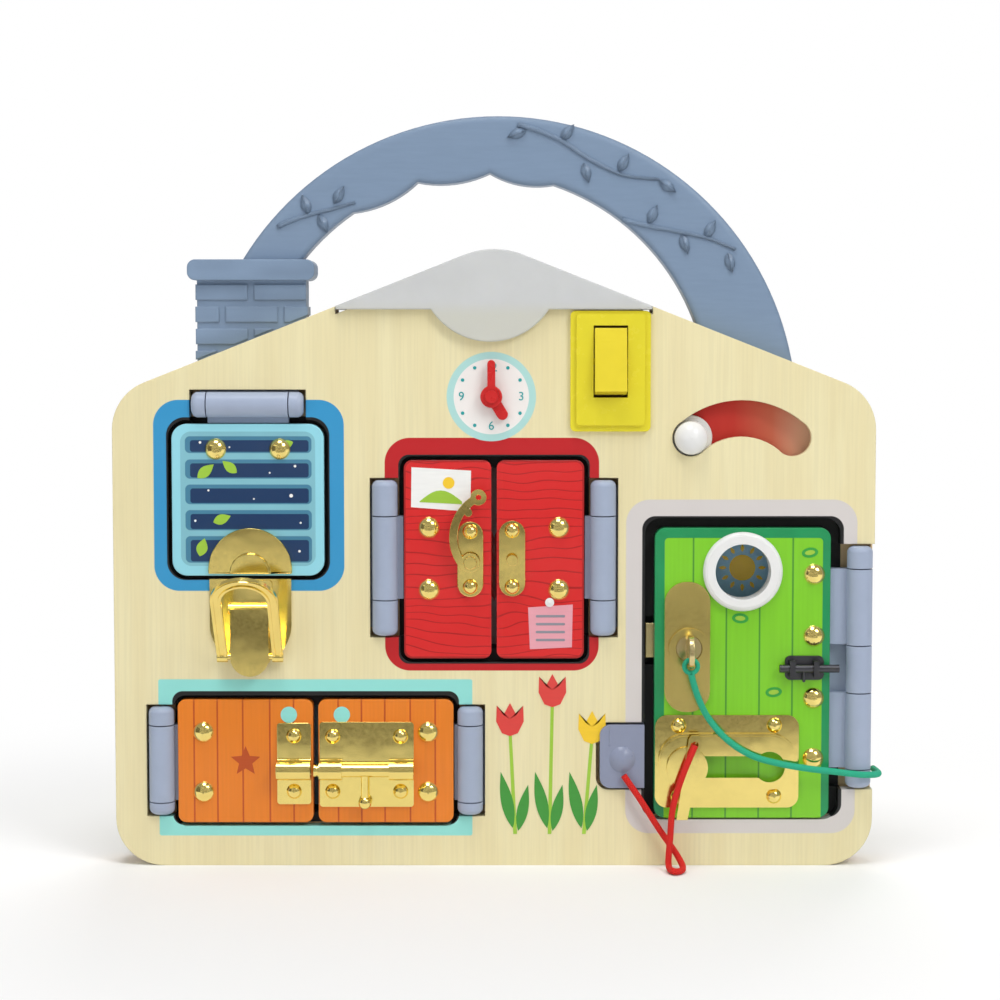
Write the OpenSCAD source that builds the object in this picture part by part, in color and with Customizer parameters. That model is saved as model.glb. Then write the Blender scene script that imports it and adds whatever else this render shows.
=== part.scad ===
// House-shaped wooden busy board: a plywood board with little doors, each held
// shut by a different latch, a carrying handle, a clock, a slider and a lamp.
// Millimetres. +X right, front face towards -Y, +Z up.
// The origin is the centre of the board's bottom face.

/* [Board] */
// Width of the board
board_w = 286; // [270:1:320]
// Height at which the upright sides would meet the roof slopes
eave_z = 178; // [172:1:200]
// Slope of the roof, degrees
roof_slope = 21.6; // [20:0.1:26]
// Radius of the two bottom corners
corner_r = 18; // [10:1:24]
// Radius of the eave corners
eave_r = 19; // [10:1:24]
// Radius of the roof's peak
apex_r = 30; // [10:1:40]
// Thickness of the front panel
front_t = 6; // [5:0.5:8]
// Thickness of the core frame
core_t = 13; // [12:0.5:18]
// Thickness of the back panel
back_t = 4; // [3:0.5:6]

/* [Doors] */
// Thickness of every door
door_t = 6; // [5:0.5:7]
// How far a closed door stands proud of the panel
door_proud = 0.5; // [0.2:0.1:1]
// Gap round a door in its opening
door_gap = 1.5; // [1:0.1:2.5]
// Width of the ledge that a door closes on
ledge = 3; // [2:0.5:5]
// Blue door: side of the square
blue_w = 57; // [50:1:60]
// Blue door: corner radius
blue_r = 5.6; // [2:0.2:8]
// Red doors: width of each
red_w = 32.8; // [30:0.2:34]
// Red doors: height
red_h = 74.7; // [70:0.5:78]
// Orange doors: width of each
orange_w = 51; // [48:1:52]
// Orange doors: height
orange_h = 46.8; // [44:0.2:50]
// Green door: width
green_w = 66; // [62:1:68]
// Green door: height
green_h = 110; // [100:1:112]
// Radius of the small door corners
small_r = 3; // [1.5:0.5:4]
// Gap between two doors that meet
pair_gap = 2; // [1.6:0.2:3]

/* [Hinges] */
// Radius of the hinge barrels
barrel_r = 4.8; // [4:0.2:5.2]
// Radius of the steel hinge pins
pin_r = 1.2; // [0.9:0.1:1.6]
// Running clearance round a pin or a shaft
run = 0.06; // [0.03:0.01:0.1]
// Gap between two knuckles
knuckle_gap = 0.4; // [0.3:0.1:0.8]
// Rounding of the barrel's ends
cap_r = 2.4; // [1:0.2:3.6]
// Thickness of the leaf behind a door
leaf_t = 2.5; // [2:0.1:3]
// How far a leaf reaches behind its door
leaf_reach = 15; // [12:0.5:18]

/* [Handle] */
// Outer radius of the handle's arch
handle_r = 112.5; // [105:0.5:118]
// Radius of the opening under the arch
grip_r = 86; // [80:0.5:90]
// Thickness of the handle, front to back
handle_t = 12.4; // [10:0.2:12.6]
// How far each finger bump stands in from its chord
bump = 2.2; // [1:0.2:3]

/* [Chimney] */
// Width of the chimney's body
chimney_w = 41; // [36:1:46]
// Depth of the chimney's cap
cap_depth = 19; // [16:1:22]
// Height of one brick
brick_h = 5.8; // [5:0.1:7]
// Length of one brick
brick_l = 19.5; // [16:0.5:22]
// Mortar gap between bricks
mortar = 2.5; // [1.5:0.1:3]

/* [Latches] */
// Thickness of the pressed brass plates
brass_t = 1; // [0.8:0.1:1.4]
// Height of the small brass screws' domes
dome_h = 2.2; // [1.6:0.1:2.6]
// Radius of the door screws' domes
dome_r = 4; // [3.4:0.1:4.4]
// Radius of the latch plates' screw domes
small_dome_r = 2.9; // [2.4:0.1:3.2]
// Radius of the barrel bolt
bolt_r = 2.5; // [2:0.1:2.8]
// Travel of the barrel bolt each way from rest
bolt_travel = 6; // [4:0.5:6]
// Width of the toggle latch's bail
bail_w = 24.8; // [23:0.2:27]
// Width of the bail's flat strip
bail_strip = 4; // [3:0.2:4.2]
// Angle that the free bail stands forward of the board, degrees
bail_rest = 42; // [41:1:60]
// Angle that the swing hook is raised off its catch, degrees
hook_rest = 80; // [75:1:95]

/* [Lock and track] */
// Radius of the lock's plug
plug_r = 4.9; // [4.4:0.1:5.2]
// Throw of the lock's bolt
bolt_throw = 3.2; // [2.6:0.1:3.4]
// Diameter of the key's bow
bow_d = 12.4; // [11:0.2:14]
// Height of the slot in the door track
slot_h = 8.2; // [7:0.2:9]
// Travel of the tag along the track
tag_travel = 33; // [28:1:34]
// Outer radius of the peephole ring
peep_r = 14.9; // [13:0.1:16]
// Clear radius of the peephole
peep_hole = 10.4; // [9:0.1:11]

/* [Clock, slider and lamp] */
// Radius of the arc slider's path
arc_r = 28.8; // [26:0.2:32]
// Half of the arc slider's sweep, degrees
arc_half = 41.5; // [35:0.5:44]
// Width of the arc slider's slot
arc_slot = 13.7; // [12:0.1:14.5]
// Length of the minute hand
minute_l = 13.7; // [12:0.1:14.5]
// Length of the hour hand
hour_l = 9.9; // [8:0.1:11]
// Half of the snow cap's width
snow_half = 59; // [54:0.5:62]
// Wall of the snow cap
snow_wall = 2.6; // [2:0.1:3.4]

/* [Cords] */
// Diameter of both cords
cord_d = 2.5; // [2:0.1:3]

/* [Hidden] */
$fn = 48;
clear = 0.3;

// Depths, front to back
half_w = board_w / 2;
front_y = -(front_t + core_t + back_t) / 2;
core_y = front_y + front_t;
back_y = core_y + core_t;
door_y = front_y - door_proud;
door_back = door_y + door_t;
axis_y = front_y + 1;
leaf_back = door_back + leaf_t;
recess_y = leaf_back + 0.9;

// The roof's circles
eave_c = eave_z - eave_r * tan((90 - roof_slope) / 2);
apex_z = eave_z + half_w * tan(roof_slope);
apex_c = apex_z - apex_r / cos(roof_slope);
function roof_z(x) = apex_z - abs(x) * tan(roof_slope);

// Places of the doors: centre across, bottom edge
blue_x = -92.2;
blue_z = 110.3;
red_z = 79;
orange_x = -67.3;
orange_z = 16.6;
green_x = half_w - 49.6;
green_z = 18.3;
green_gap = 3.7;

// Places of the hinge axes
blue_axis_z = blue_z + blue_w + barrel_r + 2.4;
red_axis = pair_gap / 2 + red_w + barrel_r + 2.4;
orange_axis = pair_gap / 2 + orange_w + barrel_r + 1.5;
green_axis = half_w - barrel_r - 0.6;

// Knuckles along each barrel: ends of the pieces, from the low end
blue_cuts = [0, 5.6, 36.4, 42];
red_cuts = [0, 13.4, 45, 58.5];
orange_cuts = [0, 4.8, 34, 41];
green_cuts = [0, 7, 36, 54, 83, 91.5];
blue_low = -21;
red_low = 8.7;
orange_low = 3;
green_low = 11.6;

// ---- Shapes that repeat ----

// A drawing of the front view (x across, y up) becomes a slab from y0 back to y1
module slab(y0, y1) {
    translate([0, y1, 0]) rotate([90, 0, 0]) linear_extrude(y1 - y0) children();
}

// A round bar along Y, from y0 back to y1, at (x, z)
module peg(x, z, y0, y1, r) {
    translate([x, y1, z]) rotate([90, 0, 0]) cylinder(h = y1 - y0, r = r);
}

// A rectangle with round corners, centred
module rounded(w, h, r) {
    square([w - 2 * r, h], center = true);
    square([w, h - 2 * r], center = true);
    for (x = [-1, 1], z = [-1, 1])
        translate([x * (w / 2 - r), z * (h / 2 - r)]) circle(r);
}

// The same with its bottom edge's middle at (x, z)
module door_shape(x, z, w, h, r) {
    translate([x, z + h / 2]) rounded(w, h, r);
}

// A bar with round ends
module stadium(w, h) {
    square([w - h, h], center = true);
    for (x = [-1, 1]) translate([x * (w - h) / 2, 0]) circle(h / 2);
}

// A domed screw head with its shank, its seat at y
module dome_screw(x, z, y, r, shank) {
    curve_r = (r * r + dome_h * dome_h) / (2 * dome_h);
    translate([x, y, z]) rotate([90, 0, 0]) rotate_extrude() intersection() {
        translate([0, dome_h - curve_r]) circle(curve_r);
        square([r, dome_h]);
    }
    peg(x, z, y, y + shank, 1.1);
}

// The house's outline
module house() {
    s = roof_slope;
    right = [[half_w - corner_r, 0], [half_w, corner_r], [half_w, eave_c],
        [half_w - eave_r + eave_r * sin(s), eave_c + eave_r * cos(s)],
        [apex_r * sin(s), apex_c + apex_r * cos(s)]];
    left = [for (i = [len(right) - 1 : -1 : 0]) [-right[i][0], right[i][1]]];
    polygon(concat(right, left));
    for (x = [-1, 1]) {
        translate([x * (half_w - corner_r), corner_r]) circle(corner_r);
        translate([x * (half_w - eave_r), eave_c]) circle(eave_r);
    }
    translate([0, apex_c]) circle(apex_r);
}

// The outline with the seat of the snow cap cut away
module board_shape() {
    difference() {
        house();
        difference() {
            translate([-snow_half - clear, apex_z - 45])
                square([2 * (snow_half + clear), 60]);
            translate([0, -snow_wall - clear]) house();
        }
    }
}

// ---- Hinges ----
// Local frame: the pin along Z, the door on the +X side, the front at -Y.

// Puts a hinge drawn in its local frame in its place
module handed(side) {
    if (side > 0) mirror([1, 0, 0]) children();
    else children();
}
module at_blue() {
    translate([blue_x + blue_low, axis_y, blue_axis_z]) rotate([0, 90, 0]) children();
}
module at_red(side) {
    translate([side * red_axis, axis_y, red_z + red_low]) handed(side) children();
}
module at_orange(side) {
    translate([orange_x + side * orange_axis, axis_y, orange_z + orange_low])
        handed(side) children();
}
module at_green() {
    translate([green_axis, axis_y, green_z + green_low]) mirror([1, 0, 0]) children();
}

// An end knuckle, its flat face at z = 0, its round end up
module end_knuckle(h) {
    rotate_extrude() difference() {
        union() {
            square([barrel_r, h - cap_r]);
            square([barrel_r - cap_r, h]);
            translate([barrel_r - cap_r, h - cap_r]) circle(cap_r);
        }
        translate([-2 * cap_r, -1]) square([2 * cap_r, h + 2]);
    }
}

// The fixed half: end knuckles, any middle ones, and the strip behind the panel
module fixed_half(cuts, strip) {
    n = len(cuts) - 1;
    strip_y = core_y - axis_y;
    g = knuckle_gap / 2;
    for (i = [0 : 2 : n - 1]) {
        z0 = cuts[i] + (i == 0 ? 0 : g);
        z1 = cuts[i + 1] - (i == n - 1 ? 0 : g);
        difference() {
            union() {
                if (i == 0) translate([0, 0, z1]) mirror([0, 0, 1]) end_knuckle(z1 - z0);
                else if (i == n - 1) translate([0, 0, z0]) end_knuckle(z1 - z0);
                else translate([0, 0, z0]) cylinder(h = z1 - z0, r = barrel_r);
                web0 = z0 + (i == 0 ? cap_r : 0);
                web1 = z1 - (i == n - 1 ? cap_r : 0);
                translate([-barrel_r + 1, 1, web0])
                    cube([barrel_r - 1.4, strip_y + 1.6, web1 - web0]);
            }
            translate([0, 0, z0 + (i == 0 ? cap_r : -1)])
                cylinder(h = z1 - z0 - (i == n - 1 ? cap_r - 1 : (i == 0 ? cap_r - 1 : -2)),
                    r = pin_r + run);
        }
    }
    translate([-strip, strip_y + 0.1, cap_r])
        cube([strip - 0.4, 2.5, cuts[n] - 2 * cap_r]);
}

// The steel pin inside the barrel
module hinge_pin(cuts) {
    translate([0, 0, cap_r + clear])
        cylinder(h = cuts[len(cuts) - 1] - 2 * cap_r - 2 * clear, r = pin_r);
}

// The moving half: its knuckles and the leaf that the door is screwed to.
// edge is the distance from the pin to the door's edge.
module moving_half(cuts, edge) {
    n = len(cuts) - 1;
    g = knuckle_gap / 2;
    y0 = door_back - axis_y;
    near = barrel_r * 0.75;
    for (i = [1 : 2 : n - 1]) {
        z0 = cuts[i] + g;
        h = cuts[i + 1] - cuts[i] - 2 * g;
        difference() {
            union() {
                translate([0, 0, z0]) cylinder(h = h, r = barrel_r);
                translate([0, 1, z0]) cube([edge - clear, y0 - 1, h]);
                translate([0, y0, z0]) cube([near + 1, leaf_t, h]);
            }
            translate([0, 0, z0 - 1]) cylinder(h = h + 2, r = pin_r + run);
        }
    }
    translate([near, y0, cuts[1] + g])
        cube([edge + leaf_reach - near, leaf_t, cuts[n - 1] - cuts[1] - 2 * g]);
}

// What a hinge takes out of the front panel
module hinge_pocket(cuts, edge, margin) {
    translate([-barrel_r - margin, -barrel_r, -0.8])
        cube([barrel_r + margin + edge, 40, cuts[len(cuts) - 1] + 1.6]);
}

// What a hinge takes out of the core's front
module hinge_recess(cuts, edge, strip) {
    depth = recess_y - core_y;
    translate([-strip - clear, core_y - axis_y - 1, -0.8])
        cube([strip + clear + edge + leaf_reach + 1.5, depth + 1, cuts[len(cuts) - 1] + 1.6]);
}

// Distances from the pins to the doors' edges, and the hidden strips' widths
blue_edge = blue_axis_z - blue_z - blue_w;
red_edge = red_axis - pair_gap / 2 - red_w;
orange_edge = orange_axis - pair_gap / 2 - orange_w;
green_edge = green_axis - green_x - green_w / 2;
hinge_strip = barrel_r + 5;
green_strip = half_w - green_axis - 1;

// Every hinge, for what is cut round it
module each_hinge(what) {
    at_blue() hinge_cut(what, blue_cuts, blue_edge, hinge_strip);
    for (s = [-1, 1]) at_red(s) hinge_cut(what, red_cuts, red_edge, hinge_strip);
    for (s = [-1, 1]) at_orange(s) hinge_cut(what, orange_cuts, orange_edge, hinge_strip);
    at_green() hinge_cut(what, green_cuts, green_edge, green_strip);
}
module hinge_cut(what, cuts, edge, strip) {
    if (what == "pocket") hinge_pocket(cuts, edge, 0.8);
    else hinge_recess(cuts, edge, strip);
}

// ---- The board ----

// The anchor's block sits in a notch beside the green door
anchor_w = 17.4;
anchor_h = 24;
anchor_x = green_x - green_w / 2 - green_gap - anchor_w / 2;
anchor_z = 41.8;

// The door openings in the front panel
module openings() {
    g = door_gap;
    door_shape(blue_x, blue_z - g, blue_w + 2 * g, blue_w + 2 * g, blue_r + g);
    door_shape(0, red_z - g, 2 * red_w + pair_gap + 2 * g, red_h + 2 * g, small_r + g);
    door_shape(orange_x, orange_z - g, 2 * orange_w + pair_gap + 2 * g,
        orange_h + 2 * g, small_r + g);
    door_shape(green_x, green_z - clear - 0.4, green_w + 2 * green_gap,
        green_h + green_gap + clear + 0.4, small_r + 3);
    translate([anchor_x + 2, anchor_z]) rounded(anchor_w + 5.6, anchor_h + 1.6, 4.6);
}

// The compartments behind the doors, a ledge smaller than the doors
module compartments() {
    l = ledge;
    door_shape(blue_x, blue_z + l, blue_w - 2 * l, blue_w - 2 * l, small_r);
    door_shape(0, red_z + l, 2 * red_w + pair_gap - 2 * l, red_h - 2 * l, small_r);
    door_shape(orange_x, orange_z + l, 2 * orange_w + pair_gap - 2 * l,
        orange_h - 2 * l, small_r);
    door_shape(green_x, green_z + l, green_w - 2 * l, green_h - 2 * l, small_r);
}

// The arc slider's centre, and a slot along its path
arc_x = 92.8;
arc_z = 140.5;
module arc_slot_shape(w) {
    translate([arc_x, arc_z]) {
        intersection() {
            difference() {
                circle(arc_r + w / 2, $fn = 96);
                circle(arc_r - w / 2, $fn = 96);
            }
            polygon([[0, 0], [-80 * sin(arc_half), 80 * cos(arc_half)],
                [80 * sin(arc_half), 80 * cos(arc_half)]]);
        }
        // the end circles are a hair wider, so that they cross the slot's edges
        for (a = [-arc_half, arc_half])
            translate([arc_r * sin(a), arc_r * cos(a)]) circle(w / 2 + 0.1);
    }
}

// The clock's centre
clock_x = -1;
clock_z = 177.5;
// The switch's place, its rocker's size
switch_x = 43.5;
switch_z = 187;
rocker_z = 190.6;
switch_w = 30;
switch_h = 45;
rocker_w = 12;
rocker_h = 25;

module front_panel() {
    color("burlywood") difference() {
        slab(front_y, core_y) board_shape();
        slab(front_y - 1, core_y + 1) {
            openings();
            arc_slot_shape(arc_slot);
            translate([switch_x, rocker_z]) square([rocker_w + 6, rocker_h + 6], center = true);
        }
        slab(core_y - knob_flange - clear, core_y + 1) arc_slot_shape(2 * knob_flange_r + 0.8);
        each_hinge("pocket");
        peg(clock_x, clock_z, front_y - 1, core_y + 1, 1.5 + run);
    }
}

// The handle's and the chimney's tenons stand in slots of the core
module core_frame() {
    color("saddlebrown") difference() {
        slab(core_y, back_y) board_shape();
        slab(core_y - 1, back_y + 1) {
            compartments();
            handle_slot();
            chimney_slot();
            translate([0, roof_z(0) - 16]) square([34, 24], center = true);
        }
        each_hinge("recess");
        slab(core_y - 1, core_y + 5)
            translate([switch_x, rocker_z]) square([rocker_w + 6, rocker_h + 6], center = true);
        slab(core_y + 1, back_y + 1)
            translate([battery_x, battery_z]) square([battery_w + 0.6, battery_h + 0.6], center = true);
        translate([green_x - green_w / 2 - 8, core_y - 1, guide_z - 0.8])
            cube([13, guide_t + 1.2, guide_h + 1.6]);
        peg(clock_x, clock_z, core_y - 1, core_y + 4, 3);
    }
}

module back_panel() {
    color("burlywood") difference() {
        slab(back_y, back_y + back_t) board_shape();
        slab(back_y - 1, back_y + back_t + 1) translate([battery_x, battery_z])
            rounded(battery_w + 4 + 2 * clear, battery_h + 4 + 2 * clear, 3);
        for (p = back_screw_places) peg(p[0], p[1], back_y - 1, back_y + back_t + 1, 1.2);
    }
}

// Screws that hold the back on, 10 mm in from the edge
back_screw_places = [for (x = [-1, 1]) each [[x * 131, 20], [x * 131, 90], [x * 131, 160],
    [x * 45, 9], [x * 52, roof_z(52) - 14]]];
module back_screws() {
    color("silver") for (p = back_screw_places) {
        peg(p[0], p[1], back_y + back_t, back_y + back_t + 0.8, 2.6);
        peg(p[0], p[1], back_y, back_y + back_t, 1.2);
    }
}

// ---- Handle ----

handle_x = 1.5;
handle_top = 282;
handle_z = handle_top - handle_r;
grip_x = -4.7;
grip_z = 175.1;
// Angles of the cusps between the finger bumps, from straight up
cusps = [-34.1, -16.2, 2.1, 18.4];
handle_tenon = 12;

module handle_shape() {
    difference() {
        translate([handle_x, handle_z]) circle(handle_r, $fn = 128);
        difference() {
            translate([grip_x, grip_z]) circle(grip_r, $fn = 128);
            for (i = [0 : 2]) finger_bump(cusps[i], cusps[i + 1]);
        }
        // the left end stops in the chimney's cap, the right end below the roof
        translate([-200, -10]) square([200, 10 + chimney_top - 4]);
        polygon([[0, 0], [0, roof_z(0) - handle_tenon], [200, roof_z(200) - handle_tenon], [200, 0]]);
    }
}

// A round bump between two cusps of the grip
module finger_bump(a, b) {
    half = grip_r * sin((b - a) / 2);
    r = (half * half + bump * bump) / (2 * bump);
    d = grip_r * cos((b - a) / 2) + r - bump;
    m = (a + b) / 2;
    translate([grip_x + d * sin(m), grip_z + d * cos(m)]) circle(r, $fn = 96);
}

// The right tenon's footprint in the core, with clearance
module handle_slot() {
    difference() {
        translate([handle_x, handle_z]) circle(handle_r + clear, $fn = 128);
        translate([grip_x, grip_z]) circle(grip_r - clear, $fn = 128);
        translate([-200, -10]) square([250, 400]);
        polygon([[0, 0], [0, roof_z(0) - handle_tenon - clear],
            [200, roof_z(200) - handle_tenon - clear], [200, 0]]);
    }
}

module handle() {
    mid = (core_y + back_y) / 2;
    color("lightsteelblue") slab(mid - handle_t / 2, mid + handle_t / 2) handle_shape();
}

// ---- Chimney ----

chimney_x = -91;
chimney_top = 228.7;
cap_w = 47.6;
cap_h = 7.8;
chimney_low = 186;
brick_out = 0.6;

module chimney_slot() {
    translate([chimney_x - chimney_w / 2 - clear, chimney_low - clear])
        square([chimney_w + 2 * clear, 80]);
}

module chimney() {
    mid = (core_y + back_y) / 2;
    body_t = handle_t;
    color("lightsteelblue") difference() {
        union() {
            slab(mid - body_t / 2, mid + body_t / 2)
                translate([chimney_x - chimney_w / 2, chimney_low])
                    square([chimney_w, chimney_top - cap_h - chimney_low + 1]);
            slab(mid - cap_depth / 2, mid + cap_depth / 2)
                translate([chimney_x, chimney_top - cap_h / 2]) rounded(cap_w, cap_h, 3);
            for (row = [0 : 3]) brick_row(row, mid, body_t);
        }
        // the socket for the handle's left end
        slab(mid - handle_t / 2 - 0.2, mid + handle_t / 2 + 0.2) difference() {
            translate([handle_x, handle_z]) circle(handle_r + 0.2, $fn = 128);
            translate([grip_x, grip_z]) circle(grip_r - 0.2, $fn = 128);
            translate([-200, -10]) square([200, 10 + chimney_top - 4.2]);
        }
    }
}

// Bricks stand out from the chimney, front and back, above the roof line
module brick_row(row, mid, body_t) {
    pitch = brick_h + mortar;
    z1 = chimney_top - cap_h - 1.5 - row * pitch;
    shift = row % 2 == 0 ? 0 : -brick_l * 0.55;
    slab(mid - body_t / 2 - brick_out, mid + body_t / 2 + brick_out) intersection() {
        for (i = [-1 : 2])
            translate([chimney_x - chimney_w / 2 + shift + i * (brick_l + mortar) - 0.5, z1 - brick_h])
                square([brick_l, brick_h]);
        translate([chimney_x - chimney_w / 2 - 0.6, chimney_low]) square([chimney_w + 1.2, 80]);
        polygon([[-half_w, roof_z(half_w) + 1], [0, roof_z(0) + 1], [0, 400], [-half_w, 400]]);
    }
}

// ---- Snow cap and lamp ----

// The cap's front, inside the roof line: a band with a round lobe in its middle
snow_low = 210;
snow_lobe_r = 26;
module snow_shape() {
    intersection() {
        house();
        union() {
            translate([-snow_half, snow_low]) square([2 * snow_half, 60]);
            translate([-1.5, snow_low + snow_lobe_r - 12]) circle(snow_lobe_r);
        }
        translate([-snow_half, 0]) square([2 * snow_half, 400]);
    }
}

module snow_cap() {
    back = back_y + back_t;
    color([0.93, 0.94, 0.95, 0.9]) {
        slab(front_y - snow_wall, front_y) snow_shape();
        slab(front_y - 0.2, back + 0.2) difference() {
            snow_shape();
            translate([0, -snow_wall]) house();
        }
        slab(back, back + snow_wall) snow_shape();
    }
}

// A small circuit board with two lamps, under the cap
module lamp_module() {
    z = roof_z(0) - 28;
    color("seagreen") translate([-15, core_y + 1, z]) cube([30, core_t - 2, 1.6]);
    color("white") for (x = [-9, 9]) {
        translate([x, core_y + core_t / 2, z + 1.6]) cylinder(h = 5, r = 2.5);
        translate([x, core_y + core_t / 2, z + 6.6]) sphere(2.5);
    }
}

// ---- Battery box ----

battery_x = 28;
battery_z = 36;
battery_w = 50;
battery_h = 25;
cell_r = 5.2;
module battery_box() {
    y1 = back_y - 0.3;
    y0 = core_y + 1;
    color("dimgray") difference() {
        translate([battery_x - battery_w / 2, y0, battery_z - battery_h / 2])
            cube([battery_w, y1 - y0, battery_h]);
        translate([battery_x - battery_w / 2 + 1.2, y0 + 0.6, battery_z - battery_h / 2 + 1.2])
            cube([battery_w - 2.4, y1 - y0, battery_h - 2.4]);
    }
    color("goldenrod") for (s = [-1, 1])
        translate([battery_x - 22.2, y0 + cell_r + 0.5, battery_z + s * 5.6]) rotate([0, 90, 0]) {
            cylinder(h = 43.2, r = cell_r);
            translate([0, 0, 43.2]) cylinder(h = 1, r = 1.9);
        }
}

module battery_cover() {
    color("white") {
        slab(back_y + 0.1, back_y + back_t) translate([battery_x, battery_z])
            rounded(battery_w + 4, battery_h + 4, 3);
        for (i = [-2 : 2]) slab(back_y + back_t - 0.1, back_y + back_t + 0.6)
            translate([battery_x - 12 + i * 2.6, battery_z]) stadium_up(1.2, 12);
        peg(battery_x + 20, battery_z, back_y + back_t - 0.1, back_y + back_t + 0.8, 2.6);
    }
}
module stadium_up(w, h) { rotate(90) stadium(h, w); }

// ---- Switch ----

module switch_plate() {
    y0 = front_y - 3;
    color("gold") difference() {
        union() {
            slab(y0 + 1.2, front_y) translate([switch_x, switch_z]) rounded(switch_w, switch_h, 2);
            slab(y0, y0 + 1.3) translate([switch_x, switch_z + 0.6])
                rounded(switch_w - 4.4, switch_h - 3.4, 1.4);
            slab(front_y - 0.1, core_y + 1) translate([switch_x, rocker_z])
                square([rocker_w + 5, rocker_h + 5], center = true);
        }
        slab(y0 - 1, core_y + 2) translate([switch_x, rocker_z])
            square([rocker_w + 0.8, rocker_h + 1.8], center = true);
        translate([switch_x - rocker_w / 2 - 1.6, rocker_y, rocker_z]) rotate([0, 90, 0])
            cylinder(h = rocker_w + 3.2, r = 1.2 + run);
    }
}

// The rocker turns on two stub pins at rocker_y
rocker_y = front_y - 0.8;
module switch_rocker() {
    h = rocker_h / 2;
    color("gold") translate([switch_x, rocker_y, rocker_z]) rotate([0, 90, 0]) {
        translate([0, 0, -rocker_w / 2]) linear_extrude(rocker_w) {
            polygon([[-h, -0.4], [-h, -3.2], [-h + 5, -4.2], [h - 1.4, -6.8],
                     [h, -0.4], [6, 3.4], [-6, 3.4]]);
        }
        translate([0, 0, -rocker_w / 2 - 1.5]) cylinder(h = rocker_w + 3, r = 1.2);
    }
}

// ---- Clock ----

hand_t = 1.8;
hub_r = 4.1;
hour_y = front_y - 0.4 - hand_t;
minute_y = hour_y - 0.2 - hand_t;
module clock_pin() {
    color("firebrick") {
        peg(clock_x, clock_z, minute_y - 0.3, core_y + 2, 1.5);
        peg(clock_x, clock_z, minute_y - 1.4, minute_y - 0.2, 2.4);
        peg(clock_x, clock_z, core_y + 0.2, core_y + 1.6, 2.6);
    }
}

module minute_hand() {
    color("crimson") slab(minute_y, minute_y + hand_t) translate([clock_x, clock_z]) difference() {
        union() {
            circle(hub_r);
            translate([-1.5, 0]) square([3, minute_l - 1.5]);
            translate([0, minute_l - 1.5]) circle(1.5);
        }
        circle(1.5 + run);
    }
}
module hour_hand() {
    color("crimson") slab(hour_y, hour_y + hand_t) translate([clock_x, clock_z]) difference() {
        rotate(-148) union() {
            circle(hub_r);
            translate([-2.1, 0]) square([4.2, hour_l - 2.1]);
            translate([0, hour_l - 2.1]) circle(2.1);
        }
        circle(1.5 + run);
    }
}

// ---- Arc slider ----

knob_r = 6.2;
knob_flange_r = 8.4;
knob_flange = 1.8;
module arc_knob() {
    x = arc_x - arc_r * sin(arc_half);
    z = arc_z + arc_r * cos(arc_half);
    color("white") {
        peg(x, z, core_y - knob_flange, core_y - 0.15, knob_flange_r);
        peg(x, z, front_y - 2, core_y - knob_flange + 0.1, knob_r);
        translate([x, front_y - 2, z]) rotate([90, 0, 0]) rotate_extrude() intersection() {
            translate([0, -3]) circle(6.9);
            square([knob_r, 10]);
        }
    }
}

// ---- Places and sizes of the latches ----

// Swing hook: its plates' centres, its arm's depth and arch
hook_x = 8.9;
hook_z = red_z + 36.6;
catch_x = 6.8;
hook_plate_w = 9.8;
hook_plate_h = 28.5;
arm_y = door_y - brass_t - dome_h - 0.3;
arm_t = 1.7;
arch_r = 16.8;
arch_w = 3;
arch_at = [11.1, -8.7];
// Barrel bolt: its rod's axis, its housing and its keeper
bolt_z = orange_z + 20.4;
bolt_y = door_y - brass_t - bolt_r - 0.3;
housing_w = 35.5;
housing_x = orange_x + pair_gap / 2 + 0.5 + housing_w / 2;
keeper_w = 12.9;
keeper_x = orange_x - pair_gap / 2 - 0.7 - keeper_w / 2;
bolt_tip = orange_x - pair_gap / 2 + 0.5;
strap_w = 8.6;
// Peephole and lock
peep_x = green_x;
peep_z = green_z + 93.6;
lock_x = green_x - 20.2;
lock_z = green_z + 64.8;
// The guide behind the door that the lock's bolt slides in
guide_t = 4.2;
guide_z = lock_z - 6.6;
guide_h = 17;
guide_wall = 1.7;
cam_r = 0.9;
tongue_t = 2.4;
// Track and tag
track_x = green_x - 5.6;
track_z = green_z + 21.7;
tag_x = green_x - 23.4;
tag_z = track_z - 1.6;
keyhole_r = 5.8;
tag_head_r = 5.4;

// ---- Doors, leaves and their screws ----

// Where each door's hinge screws go, and its latch plates' screws
blue_screws_at = [for (x = [-12, 12]) [blue_x + x, blue_z + blue_w - 9.4]];
red_screw_x = pair_gap / 2 + red_w - 9.4;
red_screws_z = [red_z + 26, red_z + 49.4];
orange_screw_x = pair_gap / 2 + orange_w - 9.6;
orange_screws_z = [orange_z + 11.5, orange_z + 34.3];
green_screws_at = [for (z = [22.7, 45.6, 69.2, 92.5]) [green_x + green_w / 2 - 6, green_z + z]];
keeper_screws_at = [for (z = [-8.4, 12.7]) [keeper_x, bolt_z + z]];
housing_screws_at = [for (x = [-12.8, 12.8], z = [-8.4, 12.5]) [housing_x + x, bolt_z + z]];
hook_screws_at = [for (z = [-9.4, 11.4]) [-hook_x, hook_z + z]];
catch_screws_at = [for (z = [-9.4, 11.8]) [catch_x, hook_z + z]];
track_screws_at = [[track_x - 18.2, track_z + 13.6], [track_x + 17.8, track_z + 13.8],
    [track_x + 17.8, track_z - 13.2], [track_x - 18.2, track_z - 13.4]];
// Latch plate screws bite this far into a door
bite = 4;

module screws(places, y, r, shank) {
    color("gold") for (p = places) dome_screw(p[0], p[1], y, r, shank);
}
module shank_holes(places, y1) {
    for (p = places) peg(p[0], p[1], door_y - 2, y1, 1.15);
}
module door_slab(x, z, w, h, r) { slab(door_y, door_back) door_shape(x, z, w, h, r); }

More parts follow.
